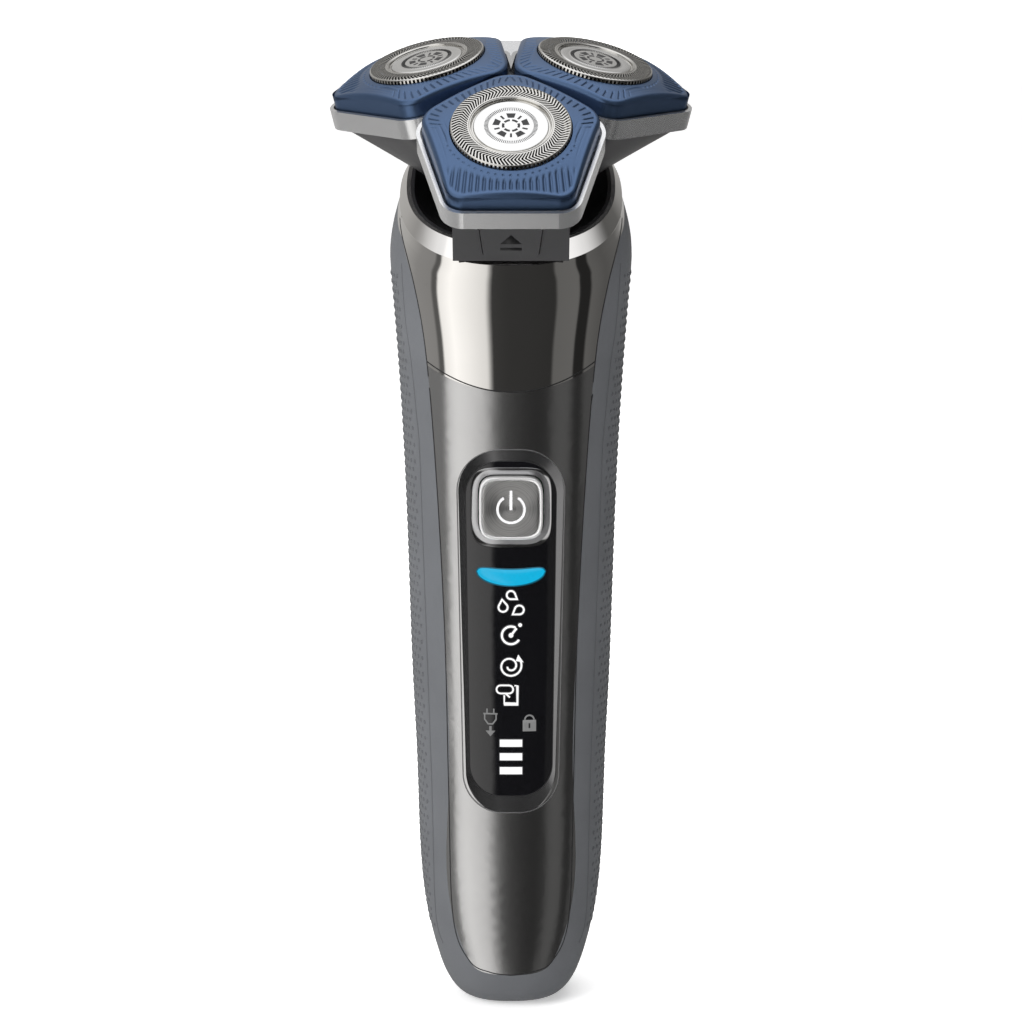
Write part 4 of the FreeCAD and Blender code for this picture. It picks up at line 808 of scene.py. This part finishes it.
def dim_symbols():
    """Plug with an arrow, and padlock, unlit yet given a faint painted glow of their own."""
    shapes = [stroke([(-4.1, 55.3), (-4.1, 54.5)], 0.24), stroke([(-2.95, 55.3), (-2.95, 54.5)], 0.24),
              stroke([(-4.75, 54.4), (-2.3, 54.4)], 0.26)]
    plug = [(-4.5, 54.4), (-4.5, 53.4), (-3.9, 52.6), (-3.15, 52.6), (-2.55, 53.4), (-2.55, 54.4)]
    shapes.append(stroke(plug, 0.24))
    shapes.append(stroke([(-3.52, 52.2), (-3.52, 51.3)], 0.42))
    shapes.append(plate([(-4.35, 51.4), (-3.52, 50.4), (-2.7, 51.4)]))
    shapes.append(stroke(arc(3.15, 53.35, 0.78, 0, 180, 14), 0.26))
    shapes.append(bar(2.0, 51.3, 4.3, 53.3))
    return shapes


def lens_piece(name, shapes, look, lift):
    """Symbols as thin solids, standing just proud of the display."""
    points, faces = lay(shapes, on_lens, lift, lift + 0.05)
    return piece(name, points, faces, "handle", "lamp_white", look, smooth=None)


# The halos are painted glow, a glowing rim on the display round the light bar and the white symbols where
# there is no lamp.
lens_piece("light_bar_halo", [crescent(0.22)], "halo_cyan", 0.04)
lens_piece("light_bar", [crescent(0.0)], "light_cyan", 0.06)
lens_piece("symbols_halo", white_symbols(0.3), "halo_white", 0.05)
lens_piece("symbols_white", white_symbols(0.0), "light_white", 0.075)
# The dim symbols glow faintly: painted light on unlit symbols.
lens_piece("symbols_dim", dim_symbols(), "light_dim", 0.07)
lens_piece("padlock_keyhole", [stroke([(3.15, 51.85), (3.15, 52.75)], 0.3)], "display_black", 0.09)

# ---------------------------------------------------------------- release button symbol
release_tree = surface_of("release_button")


def on_release(x, z, height):
    """Point above the front of the release button."""
    hit = front_hit(release_tree, x, z)
    level = hit[0].y if hit else -26.0
    return (x, level - height, z)


eject = [plate([(-1.75, 135.2), (1.75, 135.2), (0.0, 136.75)]),
         plate([(-1.75, 134.1), (1.75, 134.1), (1.75, 134.55), (-1.75, 134.55)])]
eject_points, eject_faces = lay(eject, on_release, 0.04, 0.12)
piece("eject_symbol", eject_points, eject_faces, "release_button", "black_plastic", "seam_dark",
      smooth=None)

# ---------------------------------------------------------------- seams and grip texture
skin_tree = surface_of("grip_shell", "front_panel", "chrome_collar")
grip_tree = surface_of("grip_shell")


def curve_points(knots, steps):
    """Smooth line through knots (Catmull-Rom)."""
    points = []
    for i in range(len(knots) - 1):
        p0 = knots[max(0, i - 1)]
        p1, p2 = knots[i], knots[i + 1]
        p3 = knots[min(len(knots) - 1, i + 2)]
        for step in range(steps):
            t = step / steps
            points.append(tuple(0.5 * (2 * b + (c - a) * t + (2 * a - 5 * b + 4 * c - d) * t * t
                                       + (3 * b - a - 3 * c + d) * t ** 3)
                                for a, b, c, d in zip(p0, p1, p2, p3)))
    points.append(tuple(knots[-1]))
    return points


def surface_line(name, flat, look, slot, radius, tree, sink, closed=False):
    """Thin bead that follows a line on the handle's front, given as (x, z) points."""
    sides = 8
    path = []
    for x, z in flat:
        hit = front_hit(tree, x, z)
        if hit is not None:
            path.append((hit[0], hit[1]))
    points = []
    count = len(path)
    for i in range(count):
        place, normal = path[i]
        before = path[i - 1][0] if (i > 0 or closed) else place
        after = path[(i + 1) % count][0] if (i < count - 1 or closed) else place
        run = (after - before).normalized()
        across = run.cross(normal).normalized()
        up = across.cross(run).normalized()
        for k in range(sides):
            angle = 2.0 * math.pi * k / sides
            points.append(place - normal * sink + across * radius * math.cos(angle)
                          + up * radius * math.sin(angle))
    faces = []
    for i in range(count if closed else count - 1):
        j = (i + 1) % count
        for k in range(sides):
            m = (k + 1) % sides
            faces.append((i * sides + k, i * sides + m, j * sides + m, j * sides + k))
    if not closed:
        faces.append(tuple(range(sides)))
        faces.append(tuple((count - 1) * sides + k for k in range(sides - 1, -1, -1)))
    return piece(name, points, faces, "handle", slot, look, smooth=60.0)


def seam_height(x):
    """Height of the curved seam between panel and collar."""
    return COLLAR_SEAM_CENTRE + COLLAR_SEAM_RISE * (x / COLLAR_SEAM_HALF) ** 2


right_side = curve_points(WINDOW_SIDE, 16)[8:]
window_line = right_side[:-1] + [(-x, z) for x, z in reversed(right_side)]
surface_line("panel_seam", window_line, "seam_dark", "black_plastic", 0.13, skin_tree, 0.06)
seam_reach = COLLAR_SEAM_HALF - 0.2
seam_places = [-seam_reach + 2 * seam_reach * i / 60 for i in range(61)]
seam_line = [(x, seam_height(x)) for x in seam_places]
surface_line("collar_seam", seam_line, "seam_dark", "black_plastic", 0.15, skin_tree, 0.07)
CREASE = [(18.4, 131.0), (18.11, 125.8), (17.64, 120.2), (16.82, 114.4), (16.02, 105.8), (15.54, 100.1),
          (15.1, 85.7), (14.66, 71.1), (13.77, 40.7), (13.27, 17.3), (12.0, 11.0)]
# The crease is a thin raised bead in the darker bead rubber: the fold between the grip's facets is real,
# the dark line along it is painted shade.
for side, side_name in ((-1, "left"), (1, "right")):
    line = [(side * x, z) for x, z in curve_points(CREASE, 14)]
    surface_line("grip_crease_" + side_name, line, "grip_bead", "grip_rubber", 0.22, grip_tree, 0.12)


def line_x(line, z):
    """Half-width at a height, on a line of (x, z) points that runs downwards."""
    for (x0, z0), (x1, z1) in zip(line, line[1:]):
        if z1 <= z <= z0:
            return x0 + (x1 - x0) * (z0 - z) / (z0 - z1)
    return line[0][0] if z > line[0][1] else line[-1][0]


BEAD_PITCH = 1.65
BEAD_RADIUS = 0.42
BEAD_HEIGHT = 0.17
BEADS_FROM = 14.0
BEADS_TO = 129.0
BEADS_BACK = 62.0                  # degrees behind the widest place where the beads end


def bead_field(side, side_name):
    """Small raised beads on the outer facet of one grip."""
    points, faces = [], []
    row = 0
    z = BEADS_FROM
    while z < BEADS_TO:
        start = front_hit(grip_tree, side * (line_x(CREASE, z) + 0.9), z)
        if start is not None:
            angle = math.atan2(start[0].y, abs(start[0].x))
            radius = math.hypot(start[0].x, start[0].y)
            angle += (row % 2) * 0.5 * BEAD_PITCH / radius
            while angle < math.radians(BEADS_BACK):
                direction = Vector((side * math.cos(angle), math.sin(angle), 0.0))
                hit = cast(grip_tree, direction * -BEFORE_ALL + Vector((0, 0, z)), -direction)
                if hit is not None:
                    add_bead(points, faces, hit[0], hit[1])
                angle += BEAD_PITCH / radius
        z += BEAD_PITCH * 0.87
        row += 1
    piece("grip_beads_" + side_name, points, faces, "handle", "grip_rubber", "grip_bead", smooth=80.0)


def add_bead(points, faces, centre, normal):
    """One low dome, closed below the surface."""
    across = normal.cross(Vector((0, 0, 1))).normalized()
    up = across.cross(normal).normalized()
    base = len(points)
    sides = 8
    for radius, height in ((BEAD_RADIUS, -0.05), (BEAD_RADIUS * 0.75, BEAD_HEIGHT * 0.6)):
        for k in range(sides):
            angle = 2.0 * math.pi * k / sides
            points.append(centre + normal * height + across * radius * math.cos(angle)
                          + up * radius * math.sin(angle))
    points.append(centre + normal * BEAD_HEIGHT)
    top = len(points) - 1
    for k in range(sides):
        m = (k + 1) % sides
        faces.append((base + k, base + m, base + sides + m, base + sides + k))
        faces.append((base + sides + k, base + sides + m, top))
    faces.append(tuple(base + k for k in range(sides - 1, -1, -1)))


for side, side_name in ((-1, "left"), (1, "right")):
    bead_field(side, side_name)


def section_at(height):
    """Half-width, front depth and tilt at a height, smoothly between sections."""
    heights = [section[0] for section in COLLAR_SECTIONS]
    i = max(0, min(len(heights) - 2, sum(1 for value in heights if value <= height) - 1))
    span = heights[i + 1] - heights[i]
    t = (height - heights[i]) / span
    values = []
    for k in (1, 2, 3):
        slopes = []
        for j in (i, i + 1):
            a, b = COLLAR_SECTIONS[max(0, j - 1)], COLLAR_SECTIONS[min(len(heights) - 1, j + 1)]
            slopes.append((b[k] - a[k]) / (b[0] - a[0]) * span)
        start, end = COLLAR_SECTIONS[i][k], COLLAR_SECTIONS[i + 1][k]
        values.append(start * (2 * t ** 3 - 3 * t ** 2 + 1) + slopes[0] * (t ** 3 - 2 * t ** 2 + t)
                      + end * (3 * t ** 2 - 2 * t ** 3) + slopes[1] * (t ** 3 - t ** 2))
    return values


def section_run(x, half, depth):
    """Distance of a cross-section's front from the handle's middle, along its own plane."""
    share = min(0.98, abs(x) / half)
    return -depth * (1.0 - share ** SECTION_POWER) ** (1.0 / SECTION_POWER)


def front_y(x, z):
    """Ideal front of the handle above a point of the XZ plane."""
    height = z
    for _ in range(12):
        half, depth, tilt = section_at(height)
        run = section_run(x, half, depth)
        y = run * math.cos(math.radians(tilt))
        height = z - run * math.sin(math.radians(tilt))
    return y


def smoothed(values, rounds):
    """Grid of numbers, each replaced by the mean of its neighbours a few times."""
    for _ in range(rounds):
        last_row, last_column = len(values) - 1, len(values[0]) - 1
        values = [[(values[max(0, r - 1)][c] + values[min(last_row, r + 1)][c] + values[r][max(0, c - 1)]
                    + values[r][min(last_column, c + 1)] + 2.0 * values[r][c]) / 6.0
                   for c in range(last_column + 1)] for r in range(last_row + 1)]
    return values


SKIN_THICKNESS = 0.285
SKIN_TOLERANCE = 0.6               # farther from the ideal front, a ray has met the bevel or an edge


def collar_face():
    """Polished skin of the collar's front, on an even grid so that reflections run smoothly."""
    rows, columns, lift = 48, 96, 0.035
    collar_tree = surface_of("chrome_collar")
    side = curve_points(WINDOW_SIDE, 16)
    flat, gaps = [], []
    for row in range(rows + 1):
        t = row / rows
        line, gap = [], []
        for column in range(columns + 1):
            f = -1.0 + 2.0 * column / columns
            x = f * seam_reach
            for _ in range(6):
                low = seam_height(x) + 0.12
                high = rim_start(x)
                z = low + (high - low) * t
                x = f * (line_x(side, z) - 0.12)
            hit = front_hit(collar_tree, x, z)
            ideal = front_y(x, z)
            line.append((x, z, ideal))
            gap.append(hit[0].y - ideal if hit and abs(hit[0].y - ideal) < SKIN_TOLERANCE else None)
        known = [value for value in gap if value is not None]
        mean = sum(known) / len(known) if known else 0.0
        flat.append(line)
        gaps.append([mean if value is None else value for value in gap])
    gaps = smoothed(gaps, 60)
    points = []
    for depth in (-lift, SKIN_THICKNESS - lift):
        for line, gap in zip(flat, gaps):
            points.extend((x, y + g + depth, z) for (x, z, y), g in zip(line, gap))
    width, count = columns + 1, (rows + 1) * (columns + 1)
    front = grid_faces(rows + 1, width, closed=False)
    faces = front + [tuple(count + i for i in reversed(face)) for face in front]
    border = list(range(width)) + [r * width + columns for r in range(1, rows + 1)]
    border += [rows * width + c for c in range(columns - 1, -1, -1)]
    border += [r * width for r in range(rows - 1, 0, -1)]
    faces += [(a, count + a, count + b, b) for a, b in zip([border[-1]] + border[:-1], border)]
    piece("collar_face", points, faces, "handle", "collar_chrome")


def rim_start(x):
    """Height of the collar's upper edge, where the bevel starts, for a place across the front."""
    height, half, depth, tilt = COLLAR_SECTIONS[-1]
    return height + section_run(x, half, depth) * math.sin(math.radians(tilt)) - 0.03


collar_face()


def oblong_outline(half_top, half_low, top, low, corner):
    """Tapered oblong with rounded corners, as (x, z) points."""
    corners = [Vector((-half_low, low)), Vector((half_low, low)), Vector((half_top, top)),
               Vector((-half_top, top))]
    radii = [corner - 0.6, corner - 0.6, corner, corner]
    arcs = [corner_arc(corners[i - 1], corners[i], corners[(i + 1) % 4], radii[i], 16) for i in range(4)]
    result = []
    for i in range(4):
        result += arcs[i]
        here, stop = arcs[i][-1], arcs[(i + 1) % 4][0]
        result += [here + (stop - here) * step / 24.0 for step in range(1, 24)]
    return [(point.x, point.y) for point in result]


def recess_bevel():
    """Dark satin slope round the display, from the panel's surface down to the lens."""
    rows = [[], [], [], []]
    for (x, z), (lens_x, lens_z) in zip(oblong_outline(*RECESS_OUTLINE), oblong_outline(*LENS_OUTLINE)):
        top_y = front_hit(skin_tree, x, z)[0].y
        lens_hit = front_hit(lens_tree, lens_x * 0.985, lens_z)
        low_y = lens_hit[0].y if lens_hit else top_y + 0.5
        rows[0].append((x, top_y - 0.03, z))
        rows[1].append((lens_x, low_y - 0.02, lens_z))
        rows[2].append((lens_x, low_y + 0.3, lens_z))
        rows[3].append((x, top_y + 0.3, z))
    piece("recess_bevel", [point for row in rows for point in row], ring_faces(4, len(rows[0])), "handle",
          "panel_gunmetal", "bevel_satin")


recess_bevel()
surface_line("display_rim", oblong_outline(*RIM_OUTLINE), "rim_line", "panel_gunmetal", 0.10, skin_tree,
             0.03, closed=True)
surface_line("lens_gasket", oblong_outline(*LENS_OUTLINE), "seam_dark", "black_plastic", 0.12, lens_tree,
             0.04, closed=True)


# ---------------------------------------------------------------- studio
# Brightness of the surroundings by direction: degrees from the front towards the right, and level.
SURROUNDINGS = [(-180, 0.50), (-125, 0.42), (-92, 0.26), (-70, 0.24), (-67, 0.10), (-62, 0.10), (-59, 0.95),
                (-45, 1.15), (-30, 1.0), (-13, 0.80), (-9, 0.045), (0, 0.035), (28, 0.03), (31, 0.125),
                (53, 0.135), (55, 0.018), (68, 0.018), (71, 0.115), (92, 0.09), (125, 0.12), (180, 0.50)]


def studio_world():
    """Soft surroundings: a bright tall panel at the left, a dim one at the right, a pale ceiling."""
    world = bpy.data.worlds.new("studio")
    bpy.context.scene.world = world
    world.use_nodes = True
    background = world.node_tree.nodes["Background"]
    coords = add(world, "ShaderNodeTexCoord")
    split = add(world, "ShaderNodeSeparateXYZ")
    join(world, coords.outputs["Generated"], split.inputs["Vector"])
    back = add(world, "ShaderNodeMath", operation="MULTIPLY")
    back.inputs[1].default_value = -1.0
    join(world, split.outputs["Y"], back.inputs[0])
    azimuth = add(world, "ShaderNodeMath", operation="ARCTAN2")
    join(world, split.outputs["X"], azimuth.inputs[0])
    join(world, back.outputs["Value"], azimuth.inputs[1])
    scaled = add(world, "ShaderNodeMapRange", From_Min=-math.pi, From_Max=math.pi)
    join(world, azimuth.outputs["Value"], scaled.inputs["Value"])
    walls = add(world, "ShaderNodeValToRGB")
    elements = walls.color_ramp.elements
    for i, (angle, level) in enumerate(SURROUNDINGS):
        place = (angle + 180.0) / 360.0
        element = elements[i] if i < 2 else elements.new(place)
        element.position = place
        element.color = (level, level * 0.985, level * 0.96, 1.0)
    join(world, scaled.outputs["Result"], walls.inputs["Fac"])
    ceiling = add(world, "ShaderNodeMapRange", interpolation_type="SMOOTHSTEP", From_Min=0.60,
                  From_Max=0.95)
    join(world, split.outputs["Z"], ceiling.inputs["Value"])
    mixed = add(world, "ShaderNodeMix", data_type="RGBA")
    colours = [socket for socket in mixed.inputs if socket.type == "RGBA"]
    colours[1].default_value = (1.25, 1.25, 1.26, 1.0)
    join(world, walls.outputs["Color"], colours[0])
    join(world, ceiling.outputs["Result"], mixed.inputs["Factor"])
    result = [socket for socket in mixed.outputs if socket.type == "RGBA"][0]
    join(world, result, background.inputs["Color"])
    background.inputs["Strength"].default_value = 1.0


def stage_object(name, points, faces, colour, glow):
    """Floor or backdrop from points in metres, which may give off light of its own."""
    mesh = bpy.data.meshes.new(name)
    mesh.from_pydata(points, [], faces)
    mat = grained(name, colour, 0.01, 0.8, 0.02, 0.05, 0.01)
    shader_of(mat).inputs["Emission Color"].default_value = (1.0, 1.0, 1.0, 1.0)
    shader_of(mat).inputs["Emission Strength"].default_value = glow
    mesh.materials.append(mat)
    mesh.shade_smooth()
    obj = bpy.data.objects.new(name, mesh)
    bpy.context.scene.collection.objects.link(obj)
    return obj


def build_stage():
    """Pale floor that isn't mirrored in the chrome, and a white cove seen only directly."""
    span = 6.0
    low = cad_box[0].z - 0.0002
    floor = stage_object("floor", [(-span, -span, low), (span, -span, low), (span, span, low),
                                   (-span, span, low)], [(0, 1, 2, 3)], (0.92, 0.92, 0.92), 0.42)
    floor.visible_glossy = False
    rings, sides, radius = 24, 48, 5.8
    points = []
    for i in range(rings + 1):
        rise = math.radians(90.0 * i / rings)
        for k in range(sides):
            angle = 2.0 * math.pi * k / sides
            points.append((radius * math.cos(rise) * math.cos(angle),
                           radius * math.cos(rise) * math.sin(angle), low + radius * math.sin(rise)))
    cove = stage_object("cove", points, grid_faces(rings + 1, sides), (0.9, 0.9, 0.9), 1.0)
    for ray in ("visible_diffuse", "visible_glossy", "visible_transmission", "visible_volume_scatter",
                "visible_shadow"):
        setattr(cove, ray, False)


def key_light(name, place, target, size, power):
    """Soft area lamp aimed at a point, lengths in metres."""
    data = bpy.data.lights.new(name, "AREA")
    data.shape = "RECTANGLE"
    data.size, data.size_y = size
    data.energy = power
    lamp = bpy.data.objects.new(name, data)
    lamp.location = place
    lamp.rotation_euler = (Vector(target) - Vector(place)).to_track_quat("-Z", "Y").to_euler()
    bpy.context.scene.collection.objects.link(lamp)
    lamp.visible_glossy = False


studio_world()
build_stage()
key_light("key_left", (-0.55, -0.45, 0.45), (0, 0, 0.10), (0.5, 0.6), 5.0)
key_light("top_soft", (0.05, 0.1, 0.9), (0, 0, 0.1), (0.7, 0.7), 4.0)


def place_camera():
    """Camera in front of the head and slightly above it, looking down by 10 degrees."""
    data = bpy.data.cameras.new("camera")
    data.lens = 102.1
    data.sensor_width = 36.0
    camera = bpy.data.objects.new("camera", data)
    camera.location = (0.0, (HEAD_CENTRE[1] - 490.57) * MM, (HEAD_CENTRE[2] + 13.14) * MM)
    camera.rotation_euler = (math.radians(80.0), 0.0, 0.0)
    bpy.context.scene.collection.objects.link(camera)
    bpy.context.scene.camera = camera


place_camera()
bpy.context.scene.view_settings.view_transform = "Standard"
